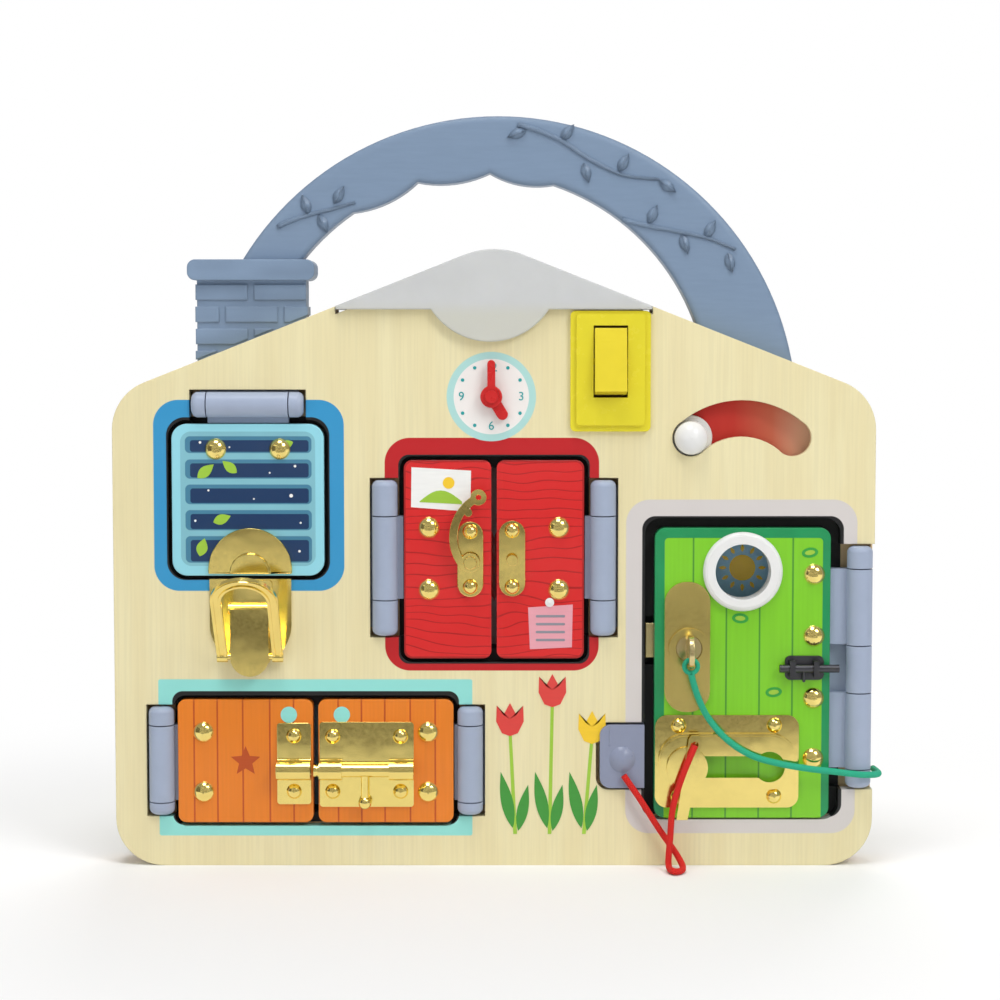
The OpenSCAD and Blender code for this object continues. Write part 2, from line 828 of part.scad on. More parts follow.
module blue_door() {
    color("skyblue") difference() {
        door_slab(blue_x, blue_z, blue_w, blue_w, blue_r);
        shank_holes(blue_screws_at, leaf_back);
    }
}
module blue_leaf() {
    color("lightsteelblue") difference() {
        at_blue() moving_half(blue_cuts, blue_edge);
        shank_holes(blue_screws_at, leaf_back + 1);
    }
}
module blue_screws() { screws(blue_screws_at, door_y, dome_r, door_t + leaf_t); }

module red_door(side) {
    color("crimson") difference() {
        door_slab(side * (pair_gap + red_w) / 2, red_z, red_w, red_h, small_r);
        shank_holes([for (z = red_screws_z) [side * red_screw_x, z]], leaf_back);
        shank_holes(side < 0 ? hook_screws_at : catch_screws_at, door_y + bite + 0.2);
    }
}
module red_leaf(side) {
    color("lightsteelblue") difference() {
        at_red(side) moving_half(red_cuts, red_edge);
        shank_holes([for (z = red_screws_z) [side * red_screw_x, z]], leaf_back + 1);
    }
}
module red_screws(side) {
    screws([for (z = red_screws_z) [side * red_screw_x, z]], door_y, dome_r, door_t + leaf_t);
    screws(side < 0 ? hook_screws_at : catch_screws_at, door_y - brass_t, small_dome_r,
        brass_t + bite);
}

module orange_door(side) {
    x = orange_x + side * (pair_gap + orange_w) / 2;
    color("darkorange") difference() {
        door_slab(x, orange_z, orange_w, orange_h, small_r);
        shank_holes([for (z = orange_screws_z) [orange_x + side * orange_screw_x, z]], leaf_back);
        shank_holes(side < 0 ? keeper_screws_at : housing_screws_at, door_y + bite + 0.2);
    }
}
module orange_leaf(side) {
    color("lightsteelblue") difference() {
        at_orange(side) moving_half(orange_cuts, orange_edge);
        shank_holes([for (z = orange_screws_z) [orange_x + side * orange_screw_x, z]], leaf_back + 1);
    }
}
module orange_screws(side) {
    screws([for (z = orange_screws_z) [orange_x + side * orange_screw_x, z]], door_y, dome_r,
        door_t + leaf_t);
    screws(side < 0 ? keeper_screws_at : housing_screws_at, door_y - brass_t, small_dome_r,
        brass_t + bite);
}

module green_door() {
    color("limegreen") difference() {
        door_slab(green_x, green_z, green_w, green_h, small_r + 1);
        shank_holes(green_screws_at, leaf_back);
        shank_holes(track_screws_at, door_y + bite + 0.2);
        peg(peep_x, peep_z, door_y - 1, door_back + 1, peep_hole + 0.8);
        peg(lock_x, lock_z, door_y - 1, door_back + 1, plug_r + 1.2);
    }
}
module green_leaf() {
    color("lightsteelblue") difference() {
        at_green() moving_half(green_cuts, green_edge);
        shank_holes(green_screws_at, leaf_back + 1);
    }
}
module green_screws() {
    screws(green_screws_at, door_y, dome_r, door_t + leaf_t);
    screws(track_screws_at, door_y - brass_t, small_dome_r, brass_t + bite);
}

module blue_hinge() {
    color("lightsteelblue") at_blue() fixed_half(blue_cuts, hinge_strip);
    color("silver") at_blue() hinge_pin(blue_cuts);
}
module red_hinges() {
    for (s = [-1, 1]) {
        color("lightsteelblue") at_red(s) fixed_half(red_cuts, hinge_strip);
        color("silver") at_red(s) hinge_pin(red_cuts);
    }
}
module orange_hinges() {
    for (s = [-1, 1]) {
        color("lightsteelblue") at_orange(s) fixed_half(orange_cuts, hinge_strip);
        color("silver") at_orange(s) hinge_pin(orange_cuts);
    }
}
module green_hinge() {
    color("lightsteelblue") at_green() fixed_half(green_cuts, green_strip);
    color("silver") at_green() hinge_pin(green_cuts);
}

// ---- Toggle latch on the blue door ----

tog_x = blue_x + 0.7;
tog_y = front_y - 3;
lever_z = blue_z - 12.1;
lever_half = 7.2;
lever_drop = 25.4;
bail_z = lever_z - 18.3;
bail_l = 43.5;
strike_r = 15.75;
strike_z = blue_z + 2.2;
tog_pin = 1;

module toggle_strike() {
    color("gold") {
        slab(door_y - brass_t - 0.2, door_y) intersection() {
            translate([tog_x, strike_z]) circle(strike_r);
            translate([tog_x - 20, blue_z + 0.8]) square([40, 40]);
        }
        slab(door_y - 3.6, door_y - brass_t) intersection() {
            translate([tog_x, blue_z + 1.1]) circle(7.4);
            translate([tog_x - 20, blue_z + 1.1]) square([40, 40]);
        }
    }
}

// The base plate, its ears, the lever's pin and a raised pad above it
module toggle_base() {
    ear_x = lever_half + 0.3;
    color("gold") {
        slab(front_y - brass_t, front_y) {
            translate([tog_x, blue_z - 18.4]) circle(strike_r - 0.4);
            translate([tog_x - strike_r + 0.4, blue_z - 18.4])
                square([2 * strike_r - 0.8, 17.2]);
        }
        slab(front_y - 2.4, front_y - brass_t + 0.1)
            translate([tog_x, lever_z + 6.9]) rounded(2 * ear_x + 1.4, 7.2, 1.5);
        for (s = [-1, 1]) translate([tog_x + s * (ear_x + 0.35), 0, lever_z]) {
            translate([-0.35, tog_y, 0]) rotate([0, 90, 0]) cylinder(h = 0.7, r = 2);
            translate([-0.35, tog_y, -2]) cube([0.7, front_y - tog_y - 0.5, 4]);
        }
        translate([tog_x - ear_x - 0.7, tog_y, lever_z]) rotate([0, 90, 0])
            cylinder(h = 2 * ear_x + 1.4, r = tog_pin);
    }
}

module toggle_lever() {
    face_y = tog_y - 2.7;
    color("gold") {
        difference() {
            union() {
                slab(face_y, face_y + 1) {
                    translate([tog_x, lever_z - lever_drop + lever_half]) circle(lever_half);
                    translate([tog_x - lever_half, lever_z - lever_drop + lever_half])
                        square([2 * lever_half, lever_drop - lever_half]);
                }
                for (x = [-lever_half, lever_half - 1])
                    translate([tog_x + x, face_y + 0.9, lever_z - lever_drop + 5])
                        cube([1, 3, lever_drop - 5]);
                translate([tog_x - lever_half, tog_y, lever_z]) rotate([0, 90, 0])
                    cylinder(h = 2 * lever_half, r = 1.9);
            }
            translate([tog_x - 10, tog_y, lever_z]) rotate([0, 90, 0])
                cylinder(h = 20, r = tog_pin + run);
        }
        translate([tog_x - bail_w / 2, tog_y, bail_z]) rotate([0, 90, 0])
            cylinder(h = bail_w, r = tog_pin);
    }
}

// The bail's outline, up from its pivot
module bail_shape(w, strip) {
    r = w / 2;
    difference() {
        union() {
            translate([0, bail_l - bail_w / 2]) circle(r);
            translate([-r, 0]) square([w, bail_l - bail_w / 2]);
        }
        translate([0, bail_l - bail_w / 2]) circle(r - strip);
        translate([-r + strip, -1]) square([w - 2 * strip, bail_l - bail_w / 2 + 1]);
    }
}
module toggle_bail() {
    color("gold") translate([tog_x, tog_y, bail_z]) rotate([bail_rest, 0, 0]) difference() {
        union() {
            slab(-0.8, 0.8) bail_shape(bail_w, bail_strip);
            slab(-1.3, -0.7) {
                bail_shape(bail_w - 0.6, 0.9);
                bail_shape(bail_w - 2 * bail_strip + 2.4, 0.9);
            }
            for (s = [-1, 1]) translate([s * (bail_w - bail_strip) / 2 - bail_strip / 2, 0, 0])
                rotate([0, 90, 0]) cylinder(h = bail_strip, r = 2);
        }
        translate([-bail_w, 0, 0]) rotate([0, 90, 0]) cylinder(h = 2 * bail_w, r = tog_pin + run);
    }
}

// ---- Swing hook on the red doors ----

module hook_plate() {
    color("gold") {
        difference() {
            slab(door_y - brass_t, door_y) translate([-hook_x, hook_z + 0.9])
                stadium_up(hook_plate_w, hook_plate_h);
            shank_holes(hook_screws_at, door_y + 1);
        }
        peg(-hook_x, hook_z, arm_y - arm_t - 0.2, door_y - 0.5, 1.2);
        peg(-hook_x, hook_z, arm_y - arm_t - 1, arm_y - arm_t - 0.15, 2.5);
        peg(-hook_x, hook_z, arm_y + 0.15, door_y - 0.5, 2.2);
    }
}

module hook_arm() {
    color("gold") slab(arm_y - arm_t, arm_y) translate([-hook_x, hook_z]) rotate(hook_rest)
        difference() {
            union() {
                circle(3.6);
                intersection() {
                    translate(arch_at) difference() {
                        circle(arch_r + arch_w / 2);
                        circle(arch_r - arch_w / 2);
                    }
                    translate(arch_at) polygon([[0, 0], [40 * cos(36), 40 * sin(36)], [0, 60],
                        [40 * cos(143), 40 * sin(143)]]);
                }
                translate(arch_at + arch_r * [cos(36), sin(36)]) circle(3);
                // the tooth that drops beside the catch's stud
                translate(arch_at + (arch_r - 2.2) * [cos(60), sin(60)]) circle(1.5);
            }
            circle(1.2 + run);
            translate(arch_at + arch_r * [cos(36), sin(36)]) circle(1);
        }
}

module catch_plate() {
    color("gold") {
        difference() {
            slab(door_y - brass_t, door_y) translate([catch_x, hook_z + 1.2])
                stadium_up(hook_plate_w, hook_plate_h);
            shank_holes(catch_screws_at, door_y + 1);
        }
        peg(catch_x, hook_z + 0.9, arm_y - arm_t - 0.3, door_y - 0.5, 1.5);
        peg(catch_x, hook_z + 0.9, arm_y - arm_t - 0.9, arm_y - arm_t - 0.2, 2.1);
    }
}

// ---- Barrel bolt on the orange doors ----

// A strap that bridges the bolt, from x0 to x1
module strap(x0, x1) {
    r = bolt_r + 0.15;
    difference() {
        union() {
            translate([x0, bolt_y, bolt_z]) rotate([0, 90, 0]) cylinder(h = x1 - x0, r = r + 1);
            translate([x0, bolt_y, bolt_z - r - 1])
                cube([x1 - x0, door_y - brass_t - bolt_y + 0.1, 2 * r + 2]);
        }
        translate([x0 - 1, bolt_y, bolt_z]) rotate([0, 90, 0]) cylinder(h = x1 - x0 + 2, r = r);
    }
}

module bolt_keeper() {
    color("gold") {
        difference() {
            slab(door_y - brass_t, door_y) translate([keeper_x, bolt_z + 2.1])
                rounded(keeper_w, 31, 1.2);
            shank_holes(keeper_screws_at, door_y + 1);
        }
        strap(keeper_x - keeper_w / 2, keeper_x + keeper_w / 2);
    }
}

module bolt_housing() {
    x0 = housing_x - housing_w / 2;
    color("gold") {
        difference() {
            slab(door_y - brass_t, door_y) translate([housing_x, bolt_z + 1.8])
                rounded(housing_w, 32.3, 1.2);
            shank_holes(housing_screws_at, door_y + 1);
        }
        strap(x0, x0 + strap_w);
        strap(x0 + housing_w - strap_w - 0.6, x0 + housing_w);
    }
}

module bolt_rod() {
    x0 = housing_x - housing_w / 2;
    handle_at = x0 + strap_w + 2.6 + bolt_travel;
    color("gold") {
        difference() {
            translate([bolt_tip, bolt_y, bolt_z]) rotate([0, 90, 0])
                cylinder(h = x0 + housing_w - 1.5 - bolt_tip, r = bolt_r);
            // a shallow groove near the tip
            translate([bolt_tip + 1, bolt_y, bolt_z]) rotate([0, 90, 0]) difference() {
                cylinder(h = 0.5, r = bolt_r + 1);
                cylinder(h = 0.5, r = bolt_r - 0.35);
            }
        }
        translate([handle_at, bolt_y, bolt_z - 11.4]) cylinder(h = 11.4, r = 1.5);
        translate([handle_at, bolt_y, bolt_z - 12.2]) sphere(2.5);
    }
}

// ---- Peephole, lock and key on the green door ----

module peephole() {
    color("gold") translate([peep_x, 0, peep_z]) {
        translate([0, door_y, 0]) rotate([90, 0, 0]) rotate_extrude() {
            difference() {
                square([peep_r - 1.4, 2.6]);
                translate([-1, -1]) square([peep_hole + 1, 5]);
            }
            translate([peep_hole, 0]) square([peep_r - peep_hole, 1.2]);
            translate([peep_r - 1.4, 1.2]) circle(1.2, $fn = 24);
        }
        translate([0, door_back + 1, 0]) rotate([90, 0, 0]) rotate_extrude() {
            translate([peep_hole, 0.9]) square([0.6, door_t + 0.2]);
            translate([peep_hole, 0]) square([2.2, 1]);
        }
    }
}

// The plate, the barrel through the door, and the bolt's guide behind it
module lock_case() {
    color("gold") difference() {
        union() {
            slab(door_y - brass_t - 0.2, door_y) translate([lock_x - 0.5, lock_z + 0.3])
                rounded(17.1, 49.2, 8);
            peg(lock_x, lock_z, door_y - 3.2, door_y - brass_t, plug_r + 2.7);
            peg(lock_x, lock_z, door_y - 0.5, door_back + 0.3, plug_r + 1);
            translate([lock_x - 11.2, door_back, guide_z]) cube([22, guide_t, guide_h]);
        }
        peg(lock_x, lock_z, door_y - 4, door_back + 0.8, plug_r + run);
        translate([lock_x - 12, door_back + 0.5, guide_z + guide_wall])
            cube([21.2, tongue_t + 0.4, guide_h - 2 * guide_wall]);
    }
}

// The plug with its cam pin, and the key in it, its bow upright
module door_key() {
    bow_y = door_y - 12.4;
    color("silver") {
        peg(lock_x, lock_z, door_y - 2.8, door_back - 0.2, plug_r);
        peg(lock_x, lock_z - bolt_throw, door_back - 0.4, door_back + tongue_t + 0.4, cam_r);
        translate([lock_x - 1, bow_y + 3, lock_z - 3.4]) cube([2, 6.8, 6.8]);
        translate([lock_x - 1, bow_y, lock_z]) rotate([0, 90, 0]) difference() {
            cylinder(h = 2, r = bow_d / 2);
            translate([bow_d / 4, 0, -1]) cylinder(h = 4, r = 1.6);
        }
    }
}

// The cam pin drives the bolt by an upright slot, open below
module lock_bolt() {
    z0 = guide_z + guide_wall + 0.2;
    color("gold") translate([0, door_back + 0.7, 0]) difference() {
        translate([lock_x - 15.9, 0, z0]) cube([18.7, tongue_t, guide_h - 2 * guide_wall - 0.4]);
        translate([lock_x - 1.9, -1, z0 - 1])
            cube([3.1, tongue_t + 2, lock_z + cam_r + 0.4 - z0 + 1]);
    }
}

// ---- Track with its sliding tag ----

module track_plate() {
    color("gold") difference() {
        union() {
            slab(door_y - brass_t, door_y) translate([track_x, track_z]) rounded(54.2, 35.2, 4.5);
            slab(door_y - 3.3, door_y - brass_t + 0.1)
                translate([track_x + 0.3, track_z + 0.2]) stadium(52.4, 21);
            slab(door_y - 4, door_y - 3.2)
                translate([track_x + 0.3, track_z + 0.2]) stadium(51, 19.6);
        }
        slab(door_y - 3, door_y + 1) translate([tag_x - 6, tag_z]) {
            translate([tag_travel / 2 + 6, 0]) stadium(tag_travel + 12.6, 12);
        }
        slab(door_y - 5, door_y) translate([tag_x + tag_travel / 2, tag_z])
            stadium(tag_travel + slot_h + 0.6, slot_h);
        peg(tag_x + tag_travel + 0.6, tag_z, door_y - 5, door_y, keyhole_r);
        shank_holes(track_screws_at, door_y + 1);
    }
}

module track_tag() {
    color("gold") {
        peg(tag_x, tag_z, door_y - 2.6, door_y - 0.3, tag_head_r);
        peg(tag_x, tag_z, door_y - 5, door_y - 2.5, slot_h / 2 - 0.3);
        slab(door_y - 5.9, door_y - 4.3) translate([tag_x + 2.6, tag_z]) circle(7.7);
        slab(door_y - 7.4, door_y - 5.8) translate([tag_x, tag_z]) difference() {
            polygon([[-1.6, -19.5], [2.6, -19.5], [8.2, 10.5], [7, 12.4], [4, 12.4], [3, 11]]);
            translate([5.4, 9]) circle(1.2);
        }
    }
}

// ---- Mini sliding latch ----

mini_x = green_x + 23.4;
mini_z = green_z + 57.2;
mini_r = 1.5;
mini_y = door_y - brass_t - mini_r - 0.2;

module mini_block() {
    color("dimgray") difference() {
        union() {
            slab(door_y - brass_t, door_y) translate([mini_x, mini_z]) rounded(14.6, 9.1, 2);
            for (x = [-5.9, 3.1]) translate([mini_x + x, mini_y - 2.3, mini_z - 3])
                cube([2.1, door_y - mini_y + 1.8, 6]);
        }
        translate([mini_x - 10, mini_y, mini_z]) rotate([0, 90, 0])
            cylinder(h = 20, r = mini_r + run);
    }
}

module mini_rod() {
    color("gray") {
        translate([mini_x - 9.6, mini_y, mini_z]) rotate([0, 90, 0])
            cylinder(h = 22.4, r = mini_r);
        translate([mini_x - 0.4, mini_y, mini_z - 4.6]) cylinder(h = 4.6, r = 0.6);
        translate([mini_x - 0.4, mini_y, mini_z - 4.6]) sphere(0.6);
    }
}

// ---- The two cords ----

module anchor_block() {
    w = anchor_w - 0.6;
    color("lightsteelblue") slab(front_y - 1.5, core_y) translate([anchor_x, anchor_z]) {
        translate([0.3, 0]) rounded(w, anchor_h, 4);
        translate([w / 2 - 5.7, -anchor_h / 2]) square([6, anchor_h]);
    }
    color("lightsteelblue") translate([anchor_x + 0.3, front_y - 1.4, anchor_z - 1.1])
        rotate([90, 0, 0]) intersection() {
            translate([0, 0, -4.5]) sphere(6.7);
            cylinder(h = 4, r = 5);
        }
}

// Points that the cords' centre lines pass through: across, depth, height
anchor_route = [[48.8, -14.8, 35], [55, -15.2, 26], [62, -15.4, 15], [69, -17.5, 5],
    [70.5, -25, 1.6], [67, -29, 1.6], [65.4, -22, 2.4], [66, -20.8, 12], [67, -21.2, 24],
    [70.5, -21.2, 36], [75.2, -21, 47.4]];
key_route = [[73.2, -24.4, 75], [76, -22, 66], [80.5, -18.6, 57], [88, -18.2, 48.6],
    [97, -18.2, 43], [107.5, -18.2, 40], [118, -18.2, 38.2], [128, -18, 37],
    [138, -17.6, 35.8], [145.2, -11.5, 35], [145, 0, 35]];

// A smooth line through the points, with one point added between each two
function smooth(p) = [for (i = [0 : len(p) - 2]) each
    [p[i], (9 * (p[i] + p[i + 1]) - p[max(i - 1, 0)] - p[min(i + 2, len(p) - 1)]) / 16],
    p[len(p) - 1]];
function unit(v) = v / norm(v);
function along(p, i) = unit(p[min(i + 1, len(p) - 1)] - p[max(i - 1, 0)]);
// A vector across the line at point i, carried along from the first point
function across(p, i) = let(t = along(p, i),
    u = i == 0 ? [0.2, 1, 0.1] : across(p, i - 1)) unit(u - (u * t) * t);

module tube(p, r) {
    n = len(p);
    rings = [for (i = [0 : n - 1]) let(u = across(p, i), v = cross(along(p, i), u))
        for (a = [0 : 45 : 315]) p[i] + r * (cos(a) * u + sin(a) * v)];
    walls = [for (i = [0 : n - 2], k = [0 : 7]) let(a = 8 * i + k, b = 8 * i + (k + 1) % 8)
        each [[a, a + 8, b], [b, a + 8, b + 8]]];
    polyhedron(rings, concat([[for (k = [0 : 7]) k]], walls,
        [[for (k = [7 : -1 : 0]) 8 * (n - 1) + k]]));
}

module anchor_cord() { color("red") tube(smooth(anchor_route), cord_d / 2); }
module key_cord() { color("mediumseagreen") tube(smooth(key_route), cord_d / 2); }

// ---- What is drawn ----

front_panel();
core_frame();
back_panel();
handle();
chimney();
snow_cap();
lamp_module();
battery_box();
battery_cover();
back_screws();
switch_plate();
switch_rocker();
clock_pin();
minute_hand();
hour_hand();
arc_knob();
blue_hinge();
red_hinges();
orange_hinges();
green_hinge();
blue_door();
blue_leaf();
blue_screws();
toggle_strike();
toggle_base();
toggle_lever();
toggle_bail();
red_door(-1);  // red_left_door
red_leaf(-1);  // red_left_leaf
red_screws(-1);  // red_left_screws
hook_plate();
hook_arm();
red_door(1);  // red_right_door
red_leaf(1);  // red_right_leaf
red_screws(1);  // red_right_screws
catch_plate();
orange_door(-1);  // orange_left_door
orange_leaf(-1);  // orange_left_leaf
orange_screws(-1);  // orange_left_screws
bolt_keeper();
orange_door(1);  // orange_right_door
orange_leaf(1);  // orange_right_leaf
orange_screws(1);  // orange_right_screws
bolt_housing();
bolt_rod();
green_door();
green_leaf();
green_screws();
peephole();
lock_case();
door_key();
lock_bolt();
track_plate();
track_tag();
mini_block();
mini_rod();
anchor_block();
anchor_cord();
key_cord();
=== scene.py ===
import math
import bmesh
import bpy
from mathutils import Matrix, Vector


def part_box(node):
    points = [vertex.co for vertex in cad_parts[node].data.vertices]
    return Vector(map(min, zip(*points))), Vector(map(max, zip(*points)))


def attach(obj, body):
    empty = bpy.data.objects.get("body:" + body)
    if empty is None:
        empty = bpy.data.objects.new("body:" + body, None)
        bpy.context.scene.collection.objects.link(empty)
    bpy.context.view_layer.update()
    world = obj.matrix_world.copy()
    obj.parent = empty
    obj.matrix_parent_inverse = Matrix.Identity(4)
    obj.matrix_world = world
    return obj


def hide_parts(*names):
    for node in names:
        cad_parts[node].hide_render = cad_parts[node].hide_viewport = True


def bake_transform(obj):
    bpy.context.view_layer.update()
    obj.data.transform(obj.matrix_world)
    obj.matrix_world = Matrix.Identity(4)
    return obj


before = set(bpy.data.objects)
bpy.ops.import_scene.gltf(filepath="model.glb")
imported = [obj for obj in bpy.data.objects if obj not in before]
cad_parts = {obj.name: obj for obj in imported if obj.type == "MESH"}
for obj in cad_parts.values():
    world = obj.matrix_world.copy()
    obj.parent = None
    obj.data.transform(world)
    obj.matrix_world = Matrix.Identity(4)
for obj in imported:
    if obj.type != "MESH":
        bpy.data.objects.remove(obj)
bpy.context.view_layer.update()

# Sizes are in millimetres unless a comment says otherwise, in the record's frame:
# +X to the right, the front towards -Y, +Z up
MM = 0.001


def mm(*values):
    """Millimetres as metres."""
    return tuple(v * MM for v in values)


# ---- Places, worked out from the frame ----

def front_of(node):
    """The depth of a node's foremost point."""
    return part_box(node)[0][1] / MM


def outline_of(*nodes):
    """Nodes together in the front view: centre x, centre z, width, height."""
    lows, highs = zip(*[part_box(node) for node in nodes])
    left, right = min(low[0] for low in lows) / MM, max(high[0] for high in highs) / MM
    bottom, top = min(low[2] for low in lows) / MM, max(high[2] for high in highs) / MM
    return (left + right) / 2, (bottom + top) / 2, right - left, top - bottom


def around(outline, right, up, wider, taller, corner):
    """A rounded box that stands off an outline by right and up, and is larger or smaller."""
    cx, cz, w, h = outline
    return cx + right, cz + up, w + wider, h + taller, corner


FRONT_Y = front_of("front_panel")
DOOR_Y = front_of("blue_door")    # the doors' fronts are level
CORE_Y = front_of("core_frame")   # the floor of the slider's slot
BACK_Y = front_of("back_panel")   # the back of each compartment
HANDLE_Y = front_of("handle")
BLUE_DOORS = outline_of("blue_door")
RED_DOORS = outline_of("red_left_door", "red_right_door")
ORANGE_DOORS = outline_of("orange_left_door", "orange_right_door")
GREEN_DOORS = outline_of("green_door")
OPENINGS = [around(BLUE_DOORS, 0, 0.4, 3, 3, 7), around(RED_DOORS, 0, 0, 3, 3, 4),
            around(ORANGE_DOORS, 0, 1, 3, 3, 4), around(GREEN_DOORS, 0.1, 2.3, 8.5, 3, 5)]

CLOCK = (-1.0, 177.5)     # the hands' axis
SLIDER = (92.8, 140.5)    # centre of the slot's arc
SLIDER_R = 28.8           # radius of the slot's middle line
PRINT_T = 0.12            # thickness of a printed shape
OVERPRINT_T = 0.08        # thickness of a print on a print


# ---- Camera, first of all ----

VIEW_DISTANCE = 900.0
VIEW_ELEVATION = math.radians(4)
LOOK_AT = Vector((2.25, FRONT_Y, 138.75))
PHOTO_WIDTH = 375.0     # what the photograph spans at the board's front
SENSOR_WIDTH = 36


def make_camera():
    data = bpy.data.cameras.new("camera")
    data.sensor_width = SENSOR_WIDTH
    data.lens = SENSOR_WIDTH * VIEW_DISTANCE / PHOTO_WIDTH
    data.clip_start = 0.01
    camera = bpy.data.objects.new("camera", data)
    bpy.context.collection.objects.link(camera)
    back = Vector((0, -math.cos(VIEW_ELEVATION), math.sin(VIEW_ELEVATION)))
    camera.location = (LOOK_AT + back * VIEW_DISTANCE) * MM
    camera.rotation_euler = (math.radians(90) - VIEW_ELEVATION, 0, 0)
    bpy.context.scene.camera = camera


make_camera()


# ---- Meshes ----

def mesh_object(name, vertices, faces, smooth=False):
    """A mesh from points in millimetres."""
    mesh = bpy.data.meshes.new(name)
    mesh.from_pydata([mm(*v) for v in vertices], [], faces)
    mesh.update()
    if smooth:
        mesh.polygons.foreach_set("use_smooth", [True] * len(mesh.polygons))
    obj = bpy.data.objects.new(name, mesh)
    bpy.context.collection.objects.link(obj)
    return obj


def fix_normals(obj):
    """Turn all faces outwards."""
    bm = bmesh.new()
    bm.from_mesh(obj.data)
    bmesh.ops.recalc_face_normals(bm, faces=bm.faces)
    bm.to_mesh(obj.data)
    bm.free()


def prisms(name, outlines, y, thick, body, material, facing=-1, dome=0.0):
    """Closed prisms from outlines in the XZ plane, standing on the plane at depth y.
    dome raises the middle of each, for a soft relief."""
    vertices, faces = [], []
    for outline in outlines:
        n, first = len(outline), len(vertices)
        top = y + facing * thick
        vertices += [(x, y, z) for x, z in outline]
        vertices += [(x, top, z) for x, z in outline]
        cx = sum(p[0] for p in outline) / n
        cz = sum(p[1] for p in outline) / n
        vertices.append((cx, top + facing * dome, cz))
        faces.append([first + i for i in range(n)])
        for i in range(n):
            j = (i + 1) % n
            faces.append([first + i, first + j, first + n + j, first + n + i])
            faces.append([first + n + i, first + n + j, first + 2 * n])
    obj = mesh_object(name, vertices, faces)
    fix_normals(obj)
    obj.data.materials.append(material)
    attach(obj, body)
    return obj


def ellipse(cx, cz, rx, rz, turn=0.0, n=32):
    """An ellipse turned by turn degrees."""
    c, s = math.cos(math.radians(turn)), math.sin(math.radians(turn))
    points = []
    for i in range(n):
        a = 2 * math.pi * i / n
        x, z = rx * math.cos(a), rz * math.sin(a)
        points.append((cx + x * c - z * s, cz + x * s + z * c))
    return points


def leaf(cx, cz, length, width, turn, n=14):
    """A pointed leaf, its tip towards turn degrees from +X."""
    half = [(length * (i / n - 0.5), width / 2 * math.sin(math.pi * (i / n) ** 0.85))
            for i in range(n + 1)]
    outline = half + [(x, -w) for x, w in half[-2:0:-1]]
    c, s = math.cos(math.radians(turn)), math.sin(math.radians(turn))
    return [(cx + x * c - z * s, cz + x * s + z * c) for x, z in outline]


def rounded_box(cx, cz, w, h, r, n=6):
    points = []
    for sx, sz, start in ((1, 1, 0), (-1, 1, 90), (-1, -1, 180), (1, -1, 270)):
        for i in range(n + 1):
            a = math.radians(start + 90 * i / n)
            points.append((cx + sx * (w / 2 - r) + r * math.cos(a),
                           cz + sz * (h / 2 - r) + r * math.sin(a)))
    return points


def star(cx, cz, r, inner=0.45, tips=5):
    """A star with a tip upwards; inner is the notches' radius as a share of r."""
    reach = [r, r * inner] * tips
    return [(cx + reach[i] * math.sin(math.pi * i / tips),
             cz + reach[i] * math.cos(math.pi * i / tips)) for i in range(2 * tips)]


def polar(cx, cz, r, degrees):
    """The point at r from a centre, degrees round from +X."""
    return cx + r * math.cos(math.radians(degrees)), cz + r * math.sin(math.radians(degrees))


def smooth_line(points, steps):
    """A smooth line through the points, with steps pieces between each two."""
    line = []
    for i in range(len(points) - 1):
        a, b = Vector(points[max(i - 1, 0)]), Vector(points[i])
        c, d = Vector(points[i + 1]), Vector(points[min(i + 2, len(points) - 1)])
        for k in range(steps):
            t = k / steps
            line.append(0.5 * (2 * b + (c - a) * t + (2 * a - 5 * b + 4 * c - d) * t * t
                               + (3 * b - a - 3 * c + d) * t ** 3))
    line.append(Vector(points[-1]))
    return line


def tube(name, line, radius, sides=12, taper=None):
    """A closed tube along a line, with a UV map: round it in u, millimetres along it in v."""
    rings, along, across, distance = [], 0.0, None, []
    for i, point in enumerate(line):
        tangent = (line[min(i + 1, len(line) - 1)] - line[max(i - 1, 0)]).normalized()
        across = across or Vector((0.2, 1, 0.1))
        across = (across - across.dot(tangent) * tangent).normalized()
        up = tangent.cross(across)
        along += (point - line[i - 1]).length if i else 0.0
        distance.append(along)
        r = radius * (taper(i / (len(line) - 1)) if taper else 1.0)
        rings.append([point + r * (math.cos(2 * math.pi * k / sides) * across
                                   + math.sin(2 * math.pi * k / sides) * up) for k in range(sides)])
    vertices = [v for ring in rings for v in ring]
    faces = [list(range(sides))]
    for i in range(len(rings) - 1):
        for k in range(sides):
            a, b = i * sides + k, i * sides + (k + 1) % sides
            faces.append([a, b, b + sides, a + sides])
    faces.append([len(vertices) - 1 - k for k in range(sides)])
    obj = mesh_object(name, vertices, faces, smooth=True)
    uv = obj.data.uv_layers.new(name="UVMap")
    for polygon in obj.data.polygons:
        for corner in polygon.loop_indices:
            vertex = obj.data.loops[corner].vertex_index
            turn = (vertex % sides) / sides
            if turn == 0 and any(obj.data.loops[c].vertex_index % sides == sides - 1
                                 for c in polygon.loop_indices):
                turn = 1.0
            uv.data[corner].uv = (turn, distance[vertex // sides])
    fix_normals(obj)
    return obj, along


# ---- The two cords, along the same points as their solids ----

CORD_D = 2.5 * 0.98     # the braid lies just inside its solid
ANCHOR_ROUTE = [(48.8, -14.8, 35), (55, -15.2, 26), (62, -15.4, 15), (69, -17.5, 5),
                (70.5, -25, 1.6), (67, -29, 1.6), (65.4, -22, 2.4), (66, -20.8, 12),
                (67, -21.2, 24), (70.5, -21.2, 36), (75.2, -21, 47.4)]
KEY_ROUTE = [(73.2, -24.4, 75), (76, -22, 66), (80.5, -18.6, 57), (88, -18.2, 48.6),
             (97, -18.2, 43), (107.5, -18.2, 40), (118, -18.2, 38.2), (128, -18, 37),
             (138, -17.6, 35.8), (145.2, -11.5, 35), (145, 0, 35)]


